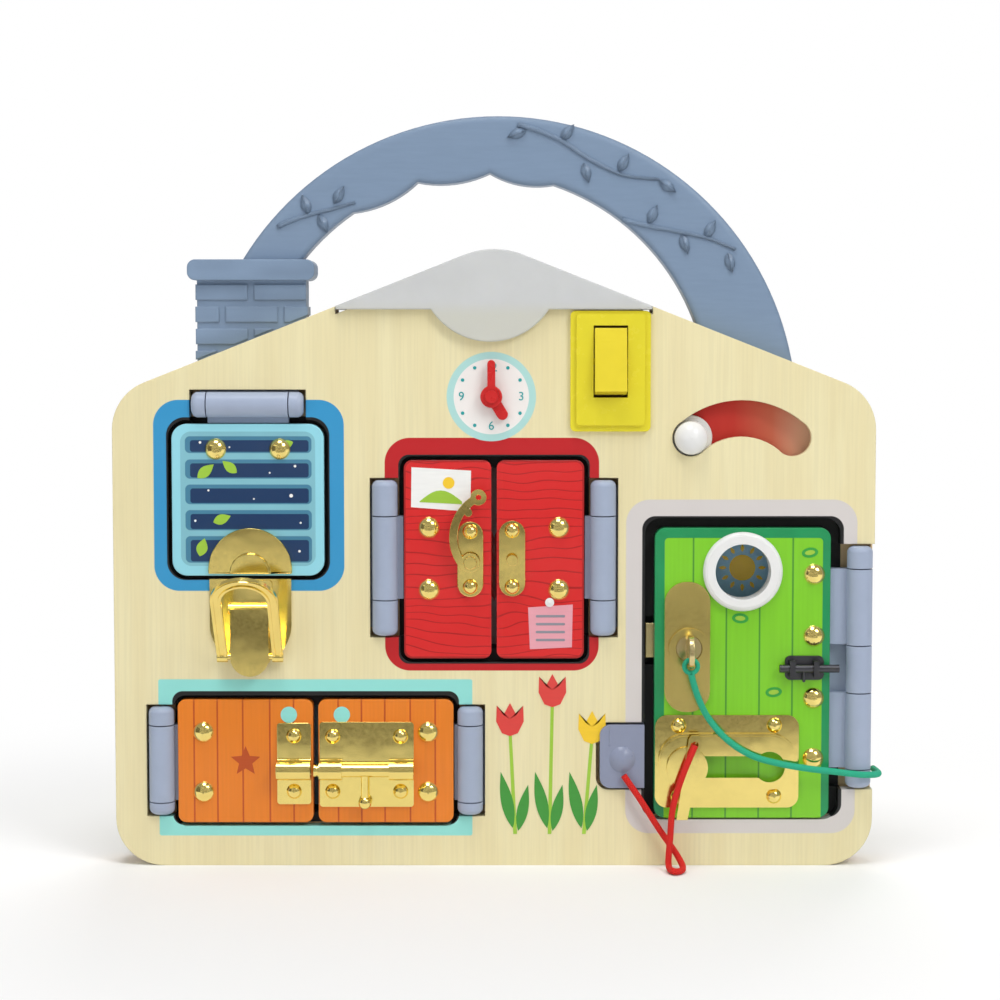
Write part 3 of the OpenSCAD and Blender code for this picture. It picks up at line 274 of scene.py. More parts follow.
def make_cord(name, node, route):
    """A braided tube along the route, in place of the node, which is hidden."""
    line = smooth_line(route, 8)
    cord, length = tube(name, line, CORD_D / 2)
    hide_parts(node)
    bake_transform(cord)
    return cord


anchor_cord = make_cord("anchor_cord_braid", "anchor_cord", ANCHOR_ROUTE)
key_cord = make_cord("key_cord_braid", "key_cord", KEY_ROUTE)


# ---- Materials ----

COAT_ROUGHNESS = 0.12
SPECULAR = 0.32      # a little under the usual half, so that pale paint keeps its colour


class Paint:
    """A Principled material with helpers that work in millimetres of the frame."""

    def __init__(self, name, roughness=0.4, metallic=0.0, coat=0.0):
        self.material = bpy.data.materials.new(name)
        self.material.use_nodes = True
        self.tree = self.material.node_tree
        self.shader = self.tree.nodes["Principled BSDF"]
        self.shader.inputs["Roughness"].default_value = roughness
        self.shader.inputs["Metallic"].default_value = metallic
        self.shader.inputs["Coat Weight"].default_value = coat
        self.shader.inputs["Coat Roughness"].default_value = COAT_ROUGHNESS
        self.shader.inputs["Specular IOR Level"].default_value = SPECULAR
        place = self.node("ShaderNodeTexCoord")
        scale = self.node("ShaderNodeVectorMath", operation="SCALE")
        self.link(place.outputs["Object"], scale.inputs[0])
        scale.inputs["Scale"].default_value = 1 / MM
        self.place = scale.outputs[0]
        split = self.node("ShaderNodeSeparateXYZ")
        self.link(self.place, split.inputs[0])
        self.x, self.y, self.z = split.outputs

    def node(self, kind, **settings):
        """A new node with its settings."""
        made = self.tree.nodes.new(kind)
        for key, value in settings.items():
            setattr(made, key, value)
        return made

    def link(self, source, socket):
        self.tree.links.new(source, socket)

    def feed(self, socket, value):
        """A number or a colour is set on the socket, and an output is linked to it."""
        if isinstance(value, (int, float)):
            socket.default_value = value
        elif isinstance(value, tuple):
            socket.default_value = (*value, 1.0)
        else:
            self.link(value, socket)

    def math(self, operation, a, b=0.0, c=0.0):
        made = self.node("ShaderNodeMath", operation=operation)
        for socket, value in zip(made.inputs, (a, b, c)):
            self.feed(socket, value)
        return made.outputs[0]

    def mix(self, factor, a, b):
        """Colour a where factor is 0, b where it is 1."""
        made = self.node("ShaderNodeMix", data_type="RGBA")
        for index, value in ((0, factor), (6, a), (7, b)):    # the node's colour sockets
            self.feed(made.inputs[index], value)
        return made.outputs[2]

    def step(self, value, low, high):
        """1 where value is under low, 0 over high."""
        made = self.node("ShaderNodeMapRange", interpolation_type="SMOOTHSTEP")
        self.feed(made.inputs["Value"], value)
        made.inputs["From Min"].default_value = low
        made.inputs["From Max"].default_value = high
        made.inputs["To Min"].default_value = 1.0
        made.inputs["To Max"].default_value = 0.0
        return made.outputs["Result"]

    def box(self, cx, cz, w, h, r):
        """Distance outside a rounded box in the front view, in millimetres."""
        def beyond(axis, centre, half):
            away = self.math("ABSOLUTE", self.math("SUBTRACT", axis, centre))
            return self.math("MAXIMUM", self.math("SUBTRACT", away, half - r), 0.0)

        dx, dz = beyond(self.x, cx, w / 2), beyond(self.z, cz, h / 2)
        square = self.math("ADD", self.math("MULTIPLY", dx, dx), self.math("MULTIPLY", dz, dz))
        return self.math("SUBTRACT", self.math("SQRT", square), r)

    def radius(self, cx, cz):
        """Distance from a point in the front view."""
        dx, dz = self.math("SUBTRACT", self.x, cx), self.math("SUBTRACT", self.z, cz)
        return self.math("SQRT", self.math("ADD", self.math("MULTIPLY", dx, dx),
                                           self.math("MULTIPLY", dz, dz)))

    def inside(self, distance, edge=0.12):
        """1 where distance is under 0, with a soft edge."""
        return self.step(distance, -edge, edge)

    def noise(self, size, stretch=(1, 1, 1), detail=3.0):
        """Noise of about size millimetres, drawn out along an axis by stretch."""
        mapping = self.node("ShaderNodeMapping")
        self.link(self.place, mapping.inputs["Vector"])
        mapping.inputs["Scale"].default_value = tuple(1 / (size * s) for s in stretch)
        made = self.node("ShaderNodeTexNoise")
        self.link(mapping.outputs[0], made.inputs["Vector"])
        made.inputs["Scale"].default_value = 1.0
        made.inputs["Detail"].default_value = detail
        return made.outputs["Fac"]

    def bump(self, height, depth, rounding=0.0):
        """A bump depth millimetres deep, over edges that look rounded."""
        made = self.node("ShaderNodeBump")
        made.inputs["Distance"].default_value = depth * MM
        if rounding:
            rounded = self.node("ShaderNodeBevel", samples=8)
            rounded.inputs["Radius"].default_value = rounding * MM
            self.link(rounded.outputs[0], made.inputs["Normal"])
        self.link(height, made.inputs["Height"])
        self.link(made.outputs[0], self.shader.inputs["Normal"])

    def colour(self, value):
        self.feed(self.shader.inputs["Base Color"], value)

    def vary_roughness(self, noise, low, high):
        """Roughness from low to high with the noise."""
        made = self.node("ShaderNodeMapRange")
        self.link(noise, made.inputs["Value"])
        made.inputs["To Min"].default_value = low
        made.inputs["To Max"].default_value = high
        self.link(made.outputs["Result"], self.shader.inputs["Roughness"])


def shade(colour, factor):
    """The colour made darker or lighter."""
    return tuple(min(c * factor, 1.0) for c in colour)


def grain(paint, pale, dark):
    """Fine upright wood grain with softer broad streaks."""
    fine = paint.noise(0.9, (1, 1, 40), 4)
    broad = paint.noise(9, (1, 1, 9), 2)
    streaks = paint.step(fine, 0.35, 0.62)
    colour = paint.mix(streaks, pale, shade(pale, 0.95))
    return paint.mix(paint.math("MULTIPLY", paint.step(broad, 0.3, 0.7), 0.4), colour, dark), fine


def plastic(name, colour, roughness=0.32, depth=0.02):
    """Moulded plastic: a faint mottle, a fine orange-peel bump."""
    paint = Paint(name, roughness)
    mottle = paint.noise(6)
    paint.colour(paint.mix(mottle, shade(colour, 0.95), shade(colour, 1.05)))
    paint.bump(paint.noise(0.7), depth)
    paint.vary_roughness(paint.noise(3), roughness - 0.06, roughness + 0.06)
    return paint.material


def enamel(name, colour, rounding=0.0):
    """Satin paint over wood: the grain shows through a little."""
    paint = Paint(name, 0.36, coat=0.25)
    fine = paint.noise(0.8, (12, 1, 1.4), 3)
    paint.colour(paint.mix(fine, shade(colour, 0.94), shade(colour, 1.05)))
    paint.bump(fine, 0.03, rounding)
    return paint.material


def metal(name, colour, roughness=0.13):
    """Plated metal, with faint swirls and a very shallow waviness that bends the
    reflections as pressed plate does."""
    paint = Paint(name, roughness, metallic=1.0)
    paint.colour(paint.mix(paint.noise(6), shade(colour, 0.93), shade(colour, 1.05)))
    paint.vary_roughness(paint.noise(1.4), roughness * 0.7, roughness * 1.4)
    paint.bump(paint.noise(9, detail=1), 0.07)
    return paint.material


def braid(name, colour):
    """A braided cord: two sets of strands that cross, from the tube's UV map."""
    paint = Paint(name, 0.75)
    uv = paint.node("ShaderNodeUVMap", uv_map="UVMap")
    split = paint.node("ShaderNodeSeparateXYZ")
    paint.link(uv.outputs[0], split.inputs[0])
    turns = paint.math("MULTIPLY", split.outputs[0], 8.0)

    def strands(sign):
        wave = paint.math("ADD", turns, paint.math("MULTIPLY", split.outputs[1], sign))
        return paint.math("ABSOLUTE", paint.math("SINE", paint.math("MULTIPLY", wave, math.pi)))

    height = paint.math("MAXIMUM", strands(1.0), strands(-1.0))
    # Painted shade: the colour is darker down between the strands, in the crevices
    paint.colour(paint.mix(height, shade(colour, 0.5), shade(colour, 1.08)))
    paint.bump(height, 0.25)
    return paint.material


# Colours as linear values
PALE_WOOD = (0.83, 0.75, 0.46)
DARK_WOOD = (0.75, 0.64, 0.35)
BLUE_FRAME = (0.035, 0.30, 0.58)
BLUE_DOOR = (0.26, 0.60, 0.70)
NAVY = (0.010, 0.040, 0.12)
SLOT_EDGE = (0.06, 0.22, 0.34)
RED_FRAME = (0.52, 0.010, 0.014)
RED_DOOR = (0.68, 0.018, 0.018)
AQUA = (0.29, 0.73, 0.67)
ORANGE = (0.80, 0.215, 0.014)
ORANGE_DARK = (0.50, 0.075, 0.008)
LILAC = (0.66, 0.62, 0.60)
LIME = (0.21, 0.60, 0.02)
LIME_LINE = (0.07, 0.30, 0.03)
DARK_GREEN = (0.012, 0.27, 0.09)
TEAL = (0.02, 0.35, 0.36)
CREAM = (0.86, 0.83, 0.80)
DIAL_RING = (0.42, 0.70, 0.67)
CHAR_AND_SHADE_BLACK = (0.012, 0.012, 0.013)
GREY_BLUE = (0.205, 0.285, 0.405)
HINGE = (0.36, 0.42, 0.55)
BRASS = (0.92, 0.74, 0.24)
YELLOW_PLASTIC = (0.76, 0.66, 0.03)
YELLOW_ROCKER = (0.78, 0.63, 0.035)
CORE_PALE = (0.80, 0.60, 0.36)
CORE_DARK = (0.62, 0.42, 0.22)
SAND = (0.85, 0.62, 0.22)
DUSTY_PINK = (0.80, 0.55, 0.56)
PALE_SKY = (0.40, 0.66, 0.80)
SKY = (0.36, 0.64, 0.84)
FROST_DARK = (0.57, 0.58, 0.58)
FROST_PALE = (0.64, 0.65, 0.65)
FROST_WARM = (0.60, 0.60, 0.54)

# The black of an opening is the plywood's charred edge together with painted shade
RIM = 0.6    # how far the black of an opening runs out over its edge


def char_and_painted_shade_in_openings(paint, colour):
    """Black where the front view is inside an opening, and on the walls round it: the plywood's
    charred cut edges, with painted shade in the gaps round the doors.
    """
    for cx, cz, w, h, r in OPENINGS:
        inside = paint.inside(paint.box(cx, cz, w + 2 * RIM, h + 2 * RIM, r))
        # Painted shade in the gaps, over the cut edges' own dark char
        colour = paint.mix(inside, colour, CHAR_AND_SHADE_BLACK)
    return colour


def panel_material():
    """Pale plywood with the printed frames round the doors and the clock's dial. The edges of the
    openings are black: charred cut edges, darkened further with painted shade."""
    paint = Paint("printed_plywood", 0.42, coat=0.2)
    colour, fine = grain(paint, PALE_WOOD, DARK_WOOD)
    for printed, ink in ((around(BLUE_DOORS, 0.3, 1.6, 14.4, 14.8, 9.5), BLUE_FRAME),
                         (around(RED_DOORS, -0.8, 1.85, 12.8, 13.1, 9.5), RED_FRAME),
                         (around(ORANGE_DOORS, -0.1, 1.2, 14.4, 12.8, 0.8), AQUA),
                         (around(GREEN_DOORS, -0.4, 2.3, 20.8, 16.6, 9.0), LILAC)):
        colour = paint.mix(paint.inside(paint.box(*printed)), colour, ink)
    dial = paint.radius(*CLOCK)
    for reach, ink in ((16.7, DIAL_RING), (14.1, CREAM)):
        colour = paint.mix(paint.inside(paint.math("SUBTRACT", dial, reach)), colour, ink)
    paint.colour(char_and_painted_shade_in_openings(paint, colour))
    paint.bump(fine, 0.03, 0.6)
    return paint.material


def core_material():
    """Bare wood; the floor of the slider's slot is printed, from red to cream."""
    paint = Paint("core_wood", 0.55)
    colour, fine = grain(paint, CORE_PALE, CORE_DARK)
    # Painted shade: black on the core's front and walls where they show through the openings
    colour = char_and_painted_shade_in_openings(paint, colour)
    left, length, slot_bottom = 66.0, 54.0, 150.0
    along = paint.math("DIVIDE", paint.math("SUBTRACT", paint.x, left), length)
    ramp = paint.node("ShaderNodeValToRGB")
    paint.link(along, ramp.inputs[0])
    stops = ramp.color_ramp.elements
    stops[0].position, stops[0].color = 0.0, (0.60, 0.020, 0.018, 1)
    stops[1].position, stops[1].color = 1.0, (0.66, 0.42, 0.28, 1)
    stops.new(0.45).color = (0.56, 0.035, 0.022, 1)
    stops.new(0.72).color = (0.56, 0.13, 0.07, 1)
    ring = paint.math("ABSOLUTE", paint.math("SUBTRACT", paint.radius(*SLIDER), SLIDER_R))
    floor = paint.math("MULTIPLY", paint.step(ring, 8.0, 9.0),
                       paint.step(paint.y, CORE_Y + 0.2, CORE_Y + 0.3))
    above = paint.math("SUBTRACT", 1.0, paint.step(paint.z, slot_bottom, slot_bottom + 2))
    paint.colour(paint.mix(paint.math("MULTIPLY", floor, above), colour, ramp.outputs[0]))
    paint.bump(fine, 0.04, 0.5)
    return paint.material


def compartment_material():
    """The back panel: plywood outside, and inside a printed ground in each compartment."""
    paint = Paint("back_plywood", 0.45)
    colour, fine = grain(paint, PALE_WOOD, DARK_WOOD)
    inside = paint.step(paint.y, BACK_Y + 0.05, BACK_Y + 0.1)
    for printed, ink in ((around(BLUE_DOORS, 0, 0, 1, 1, 4), SAND),
                         (around(RED_DOORS, 0, -0.35, 2.4, 1.3, 4), DUSTY_PINK),
                         (around(ORANGE_DOORS, 0, 0, 2, 1.2, 4), PALE_SKY),
                         (around(GREEN_DOORS, 0, 0, 2, 2, 4), SKY)):
        mask = paint.math("MULTIPLY", paint.inside(paint.box(*printed)), inside)
        colour = paint.mix(mask, colour, ink)
    paint.colour(colour)
    paint.bump(fine, 0.03, 0.6)
    return paint.material


def blue_door_material():
    """A light blue shutter with five dark slots, each with a shaded edge. The slots are
    given by their tops and bottoms."""
    paint = Paint("blue_print", 0.34, coat=0.3)
    colour = paint.mix(paint.noise(14), shade(BLUE_DOOR, 0.80), shade(BLUE_DOOR, 0.90))
    field = paint.box(*around(BLUE_DOORS, 0, 0.4, -6.5, -6.5, 4))
    colour = paint.mix(paint.inside(field), shade(BLUE_DOOR, 1.12), colour)
    cx, slot_w = BLUE_DOORS[0] + 0.2, 47.4
    for top, bottom in ((162.7, 156.4), (154.0, 146.8), (144.6, 137.2), (135.0, 127.4),
                        (125.2, 115.2)):
        cz, slot_h = (top + bottom) / 2, top - bottom
        edge = paint.box(cx, cz, slot_w, slot_h, 1.8)
        dark = paint.box(cx + 0.4, cz - 0.5, slot_w - 3, slot_h - 1.9, 1.0)
        colour = paint.mix(paint.inside(edge), colour, SLOT_EDGE)
        colour = paint.mix(paint.inside(dark), colour, NAVY)
    paint.colour(colour)
    paint.bump(paint.noise(0.8), 0.02, 0.8)
    return paint.material


def red_door_material():
    """Red, with darker wavy grain lines across, as a drawn plank."""
    paint = Paint("red_print", 0.34, coat=0.3)
    wander = paint.math("SUBTRACT", paint.noise(22, (1.4, 1, 0.8), 1), 0.5)
    swayed = paint.math("ADD", paint.z, paint.math("MULTIPLY", wander, 14.0))
    wave = paint.math("SINE", paint.math("MULTIPLY", swayed, 1.7))
    line = paint.math("SUBTRACT", 1.0, paint.step(wave, 0.90, 0.99))
    colour = paint.mix(line, RED_DOOR, shade(RED_DOOR, 0.62))
    field = paint.box(*around(RED_DOORS, 0, 0, -1.4, -1.5, 2.6))
    paint.colour(paint.mix(paint.inside(field), shade(RED_DOOR, 0.6), colour))
    paint.bump(paint.noise(0.8), 0.02, 0.8)
    return paint.material


def seams(paint, colour, ink, places, core, fade):
    """Upright lines at the places: full up to core from the middle, gone at fade."""
    for x in places:
        away = paint.math("ABSOLUTE", paint.math("SUBTRACT", paint.x, x))
        colour = paint.mix(paint.step(away, core, fade), colour, ink)
    return colour


def orange_door_material():
    """Orange planks, parted by darker lines."""
    paint = Paint("orange_print", 0.34, coat=0.3)
    fine = paint.noise(1.0, (1, 1, 26), 3)
    colour = paint.mix(fine, shade(ORANGE, 0.90), shade(ORANGE, 1.08))
    places = (-113.2, -104.4, -94.8, -84.6, -75.6, -58.8, -50.0, -41.2, -31.6, -22.2)
    paint.colour(seams(paint, colour, ORANGE_DARK, places, 0.18, 0.42))
    paint.bump(paint.noise(0.8), 0.02, 0.8)
    return paint.material


def green_door_material():
    """Lime planks inside a dark green border."""
    paint = Paint("green_print", 0.34, coat=0.3)
    fine = paint.noise(1.2, (1, 1, 30), 3)
    planks = paint.mix(fine, shade(LIME, 0.92), shade(LIME, 1.08))
    planks = seams(paint, planks, LIME_LINE, (74.9, 87.4, 99.9, 112.3), 0.2, 0.45)
    field = paint.box(*around(GREEN_DOORS, 0.4, -4.3, -6.6, 1, 1.5))
    border = paint.mix(paint.noise(10), shade(DARK_GREEN, 0.9), shade(DARK_GREEN, 1.2))
    paint.colour(paint.mix(paint.inside(field), border, planks))
    paint.bump(paint.noise(0.8), 0.02, 0.8)
    return paint.material


def snow_material():
    """Frosted plastic, paler above and a little warm where the wood shows through."""
    wood_z, clear_z = 207, 214
    paint = Paint("snow_plastic", 0.24, coat=0.4)
    frost = paint.mix(paint.noise(12), FROST_DARK, FROST_PALE)
    paint.colour(paint.mix(paint.step(paint.z, wood_z, clear_z), frost, FROST_WARM))
    paint.shader.inputs["Subsurface Weight"].default_value = 0.35
    paint.shader.inputs["Subsurface Radius"].default_value = (0.004, 0.004, 0.005)
    paint.bump(paint.noise(1.0), 0.02, 1.2)
    return paint.material


def brick_material():
    """The chimney's paint, a little darker or lighter from patch to patch."""
    paint = Paint("chimney_paint", 0.4, coat=0.2)
    patch = paint.noise(9, (2.2, 1, 0.7), 0)
    paint.colour(paint.mix(patch, shade(GREY_BLUE, 0.8), shade(GREY_BLUE, 1.2)))
    paint.bump(paint.noise(0.8), 0.04, 0.8)
    return paint.material


# ---- The nodes' own materials, with softened edges ----

HARDWARE = metal("polished_brass", BRASS)
SATIN_BRASS = metal("satin_brass", shade(BRASS, 0.84), 0.22)
STEEL = metal("steel", (0.62, 0.62, 0.62), 0.25)
KEY_METAL = metal("key_metal", (0.72, 0.60, 0.30), 0.22)
DARK_METAL = metal("dark_metal", (0.09, 0.09, 0.10), 0.36)
HINGE_PLASTIC = plastic("hinge_plastic", HINGE, 0.38)
YELLOW = plastic("yellow_plastic", YELLOW_PLASTIC, 0.26, 0.005)
YELLOW_LIGHT = plastic("yellow_rocker", YELLOW_ROCKER, 0.24, 0.005)
HAND_RED = plastic("hand_red", (0.60, 0.02, 0.02), 0.28)
KNOB_WHITE = plastic("knob_white", (0.80, 0.80, 0.79), 0.22)
BLACK_PLASTIC = plastic("black_plastic", (0.03, 0.03, 0.035), 0.45)
COVER_PLASTIC = plastic("cover_plastic", (0.70, 0.68, 0.62), 0.42)
ANCHOR = plastic("anchor_plastic", (0.26, 0.29, 0.40), 0.3)
CIRCUIT = plastic("circuit_board", (0.02, 0.16, 0.06), 0.4)
HANDLE_PAINT = enamel("handle_paint", GREY_BLUE, 4.0)
PANEL = panel_material()
CORE = core_material()
BACK = compartment_material()
BLUE = blue_door_material()
RED = red_door_material()
ORANGE_PRINT = orange_door_material()
GREEN = green_door_material()
SNOW = snow_material()
BRICK = brick_material()

# Material and edge radius of every node that shows as it is. Where the radius is 0, the edges get
# no modifiers; most of these materials soften them in their shading, but the polished brass does
# not
FINISH = [
    (PANEL, 0.0, ["front_panel"]), (CORE, 0.0, ["core_frame"]), (BACK, 0.0, ["back_panel"]),
    (HANDLE_PAINT, 0.0, ["handle"]), (BRICK, 0.0, ["chimney"]), (SNOW, 0.0, ["snow_cap"]),
    (CIRCUIT, 0.2, ["lamp_module"]), (BLACK_PLASTIC, 0.3, ["battery_box"]),
    (COVER_PLASTIC, 0.3, ["battery_cover"]), (STEEL, 0.3, ["back_screws"]),
    (YELLOW, 0.6, ["switch_plate"]), (YELLOW_LIGHT, 0.5, ["switch_rocker"]),
    (HAND_RED, 0.4, ["clock_pin", "minute_hand", "hour_hand"]), (KNOB_WHITE, 0.5, ["arc_knob"]),
    (HINGE_PLASTIC, 0.25, ["blue_hinge", "red_hinges", "orange_hinges", "green_hinge", "blue_leaf",
                           "red_left_leaf", "red_right_leaf", "orange_left_leaf",
                           "orange_right_leaf", "green_leaf"]),
    (ANCHOR, 0.9, ["anchor_block"]),
    (BLUE, 0.0, ["blue_door"]), (RED, 0.0, ["red_left_door", "red_right_door"]),
    (ORANGE_PRINT, 0.0, ["orange_left_door", "orange_right_door"]), (GREEN, 0.0, ["green_door"]),
    (HARDWARE, 0.0, ["blue_screws", "red_left_screws", "red_right_screws", "orange_left_screws",
                     "orange_right_screws", "green_screws", "track_plate"]),
    (HARDWARE, 0.35, ["toggle_strike", "toggle_base", "toggle_lever", "toggle_bail", "hook_plate",
                      "hook_arm", "catch_plate", "bolt_keeper", "bolt_housing", "bolt_rod",
                      "track_tag"]),
    (KNOB_WHITE, 0.4, ["peephole"]), (SATIN_BRASS, 0.3, ["lock_case"]),
    (KEY_METAL, 0.3, ["door_key", "lock_bolt"]), (DARK_METAL, 0.3, ["mini_block", "mini_rod"]),
]


WELD_GAP = 0.004                  # points nearer than this are one
FLAT_ANGLE = math.radians(0.6)    # faces within this angle are one flat face
SHARP_ANGLE = math.radians(40)    # an edge over this angle is rounded


def finish_node(name, material, edge):
    """Give a node its material, and round its sharp edges."""
    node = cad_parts[name]
    node.data.materials.clear()
    node.data.materials.append(material)
    if edge:
        weld = node.modifiers.new("weld", "WELD")
        weld.merge_threshold = WELD_GAP * MM
        flat = node.modifiers.new("flat", "DECIMATE")
        flat.decimate_type = "DISSOLVE"
        flat.angle_limit = FLAT_ANGLE
        bevel = node.modifiers.new("edge", "BEVEL")
        bevel.width = edge * MM
        bevel.segments = 3
        bevel.limit_method = "ANGLE"
        bevel.angle_limit = SHARP_ANGLE
        bevel.use_clamp_overlap = True
        evened = node.modifiers.new("evened", "WEIGHTED_NORMAL")
        evened.keep_sharp = True


for finish_material, finish_edge, finish_nodes in FINISH:
    for node_name in finish_nodes:
        finish_node(node_name, finish_material, finish_edge)
anchor_cord.data.materials.append(braid("red_braid", (0.72, 0.02, 0.015)))
GREEN_BRAID = braid("green_braid", (0.03, 0.46, 0.27))
key_cord.data.materials.append(GREEN_BRAID)


# ---- Reliefs and prints ----

LEAF_GREEN = enamel("leaf_green", (0.05, 0.30, 0.04))
LEAF_PALE = enamel("leaf_pale", (0.34, 0.58, 0.05))
WHITE_PRINT = enamel("white_print", (0.88, 0.88, 0.86))
PINK_PRINT = enamel("pink_print", (0.80, 0.36, 0.42))
TEAL_PRINT = enamel("teal_print", TEAL)
SUN_PRINT = enamel("sun_print", (0.92, 0.60, 0.03))
RED_PRINT = enamel("red_print_shape", (0.72, 0.06, 0.05))
GREY_PRINT = enamel("grey_print", (0.28, 0.28, 0.32))
STAR_PRINT = enamel("star_print", ORANGE_DARK)
AQUA_PRINT = enamel("aqua_print", AQUA)
KNOT_PRINT = enamel("knot_print", (0.04, 0.36, 0.05))

# Vines on the handle: the stem's points, then each leaf's centre and direction
VINES = [
    ([(-81, 241), (-75, 243.6), (-68.5, 245.6), (-61, 247.4), (-52, 250)],
     [(-58, 252.8, 60), (-70.5, 249.2, 110), (-64, 242, -65)]),
    ([(9, 279), (17, 276.5), (25, 273), (35.3, 266.3), (45, 261.4), (52, 259.5), (62, 258.6)],
     [(8.5, 275.5, 200), (27.5, 276, 50), (34.5, 261, -75), (48.5, 264.8, 60), (65, 256, -35)]),
    ([(48, 243.5), (59, 241), (69.5, 239), (81, 236.4), (90.5, 232.4)],
     [(59.5, 245.6, 65), (71.5, 234.4, -70), (81, 240, 60), (88.5, 227.6, -75)]),
]


def make_vines():
    """A stem, leaves and their ribs in relief, for each vine."""
    for i, (stem, leaves) in enumerate(VINES):
        line = smooth_line([(x, HANDLE_Y - 0.1, z) for x, z in stem], 6)
        vine, _ = tube(f"vine_stem_{i}", line, 0.9, sides=10, taper=lambda t: 1.1 - 0.4 * t)
        vine.data.materials.append(HANDLE_PAINT)
        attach(vine, "board")
        outlines = [leaf(x, z, 7.8, 3.9, turn) for x, z, turn in leaves]
        prisms(f"vine_leaves_{i}", outlines, HANDLE_Y + 0.1, 0.5, "board", HANDLE_PAINT, dome=1.0)
        ribs = [leaf(x, z, 7.0, 0.5, turn) for x, z, turn in leaves]
        prisms(f"vine_ribs_{i}", ribs, HANDLE_Y - 0.3, 1.3, "board", HANDLE_PAINT)


def make_tulips():
    """Three tulips on the panel between the orange doors and the green one: each has its
    foot, the height of its head and how far that leans."""
    foot_z = 12
    stems, leaves, heads = [], [], []
    for x, top, sway in ((8, 52, -2), (21, 63, 1), (34, 49, 3)):
        stems.append([(x - 0.7, foot_z), (x + 0.7, foot_z), (x + sway + 0.6, top),
                      (x + sway - 0.6, top)])
        leaves.append(leaf(x - 3.2, 25, 22, 4.6, 102))
        leaves.append(leaf(x + 3.0, 22, 18, 4.2, 78))
        cx = x + sway
        heads.append([(cx - 5, top + 9), (cx - 5.2, top + 3), (cx - 3, top - 1.5),
                      (cx, top - 2.6), (cx + 3, top - 1.5), (cx + 5.2, top + 3),
                      (cx + 5, top + 9), (cx + 2.4, top + 5.5), (cx, top + 10),
                      (cx - 2.4, top + 5.5)])
    prisms("tulip_stems", stems, FRONT_Y, PRINT_T, "board", LEAF_PALE)
    prisms("tulip_leaves", leaves, FRONT_Y, PRINT_T * 1.3, "board", LEAF_GREEN)
    prisms("tulip_red", heads[:2], FRONT_Y, PRINT_T * 1.6, "board", RED_PRINT)
    prisms("tulip_yellow", heads[2:], FRONT_Y, PRINT_T * 1.6, "board", SUN_PRINT)


def make_clock_face():
    """A dot at each hour, and numerals at every third."""
    ring_r, dot, numeral = 12.4, 1.3, 4.6
    ticks = [rounded_box(*polar(*CLOCK, ring_r, 90 - 30 * hour), dot, dot, 0.6, 4)
             for hour in range(12) if hour % 3]
    prisms("clock_ticks", ticks, FRONT_Y, PRINT_T, "board", TEAL_PRINT)
    for text, dx, dz in (("12", 0, 10.8), ("3", 11.2, 0), ("6", 0, -11), ("9", -11.2, 0)):
        curve = bpy.data.curves.new(f"clock_{text}", "FONT")
        curve.body = text
        curve.size = numeral * MM
        curve.extrude = PRINT_T / 2 * MM
        curve.align_x, curve.align_y = "CENTER", "CENTER"
        made = bpy.data.objects.new(f"clock_{text}", curve)
        bpy.context.collection.objects.link(made)
        made.rotation_euler = (math.radians(90), 0, 0)
        made.location = mm(CLOCK[0] + dx, FRONT_Y - PRINT_T / 2, CLOCK[1] + dz)
        made.data.materials.append(TEAL_PRINT)
        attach(made, "board")


def on_door(name, outlines, body, material, under=0.0):
    """A print on a door, over a print of thickness under."""
    thick = OVERPRINT_T if under else PRINT_T
    prisms(name, outlines, DOOR_Y - under, thick, body, material)


def print_red_doors():
    """A child's drawing of a hill on one door, and a pinned note on the other."""
    drawing = [(-30.9, 151.1), (-8.6, 149.8), (-8.9, 134.4), (-31.1, 136.1)]
    on_door("note_white", [drawing], "red_left", WHITE_PRINT)
    hill = [(-28 + 1.6 * i, 138.2 + 4.2 * math.sin(math.pi * i / 10)) for i in range(11)]
    hill += [(-12, 137.2), (-28, 138.0)]
    on_door("note_hill", [hill], "red_left", LEAF_PALE, under=PRINT_T)
    on_door("note_sun", [ellipse(-17, 145.2, 2.2, 2.2)], "red_left", SUN_PRINT, under=PRINT_T)
    note = [(12.8, 98.3), (29.6, 99.4), (29.3, 83.2), (13.5, 82.5)]
    on_door("note_pink", [note], "red_right", PINK_PRINT)
    rows = [rounded_box(21.2, z, 11, 0.9, 0.4, 3) for z in (95, 92, 89, 86)]
    on_door("note_rows", rows, "red_right", GREY_PRINT, under=PRINT_T)
    prisms("note_pin", [ellipse(20.9, 100.2, 1.7, 1.7)], DOOR_Y, 0.5, "red_right", KNOB_WHITE,
           dome=0.5)


def print_orange_doors():
    on_door("door_star", [star(-93.8, 39.8, 5.8)], "orange_left", STAR_PRINT)
    for side, x in (("left", -77.4), ("right", -57.4)):
        on_door(f"half_disc_{side}", [ellipse(x, 57.6, 3.1, 3.1)], f"orange_{side}", AQUA_PRINT)


def print_green_door():
    """Three knots in the planks: centre and turn of each."""
    knots = [(118.6, 119, 8), (92.6, 94.2, -4), (105.4, 66.2, 6)]
    on_door("knots", [ellipse(x, z, 3.1, 1.9, turn) for x, z, turn in knots], "green_door",
            KNOT_PRINT)
    on_door("knot_hearts", [ellipse(x, z, 1.9, 0.9, turn) for x, z, turn in knots],
            "green_door", LEAF_PALE, under=PRINT_T)


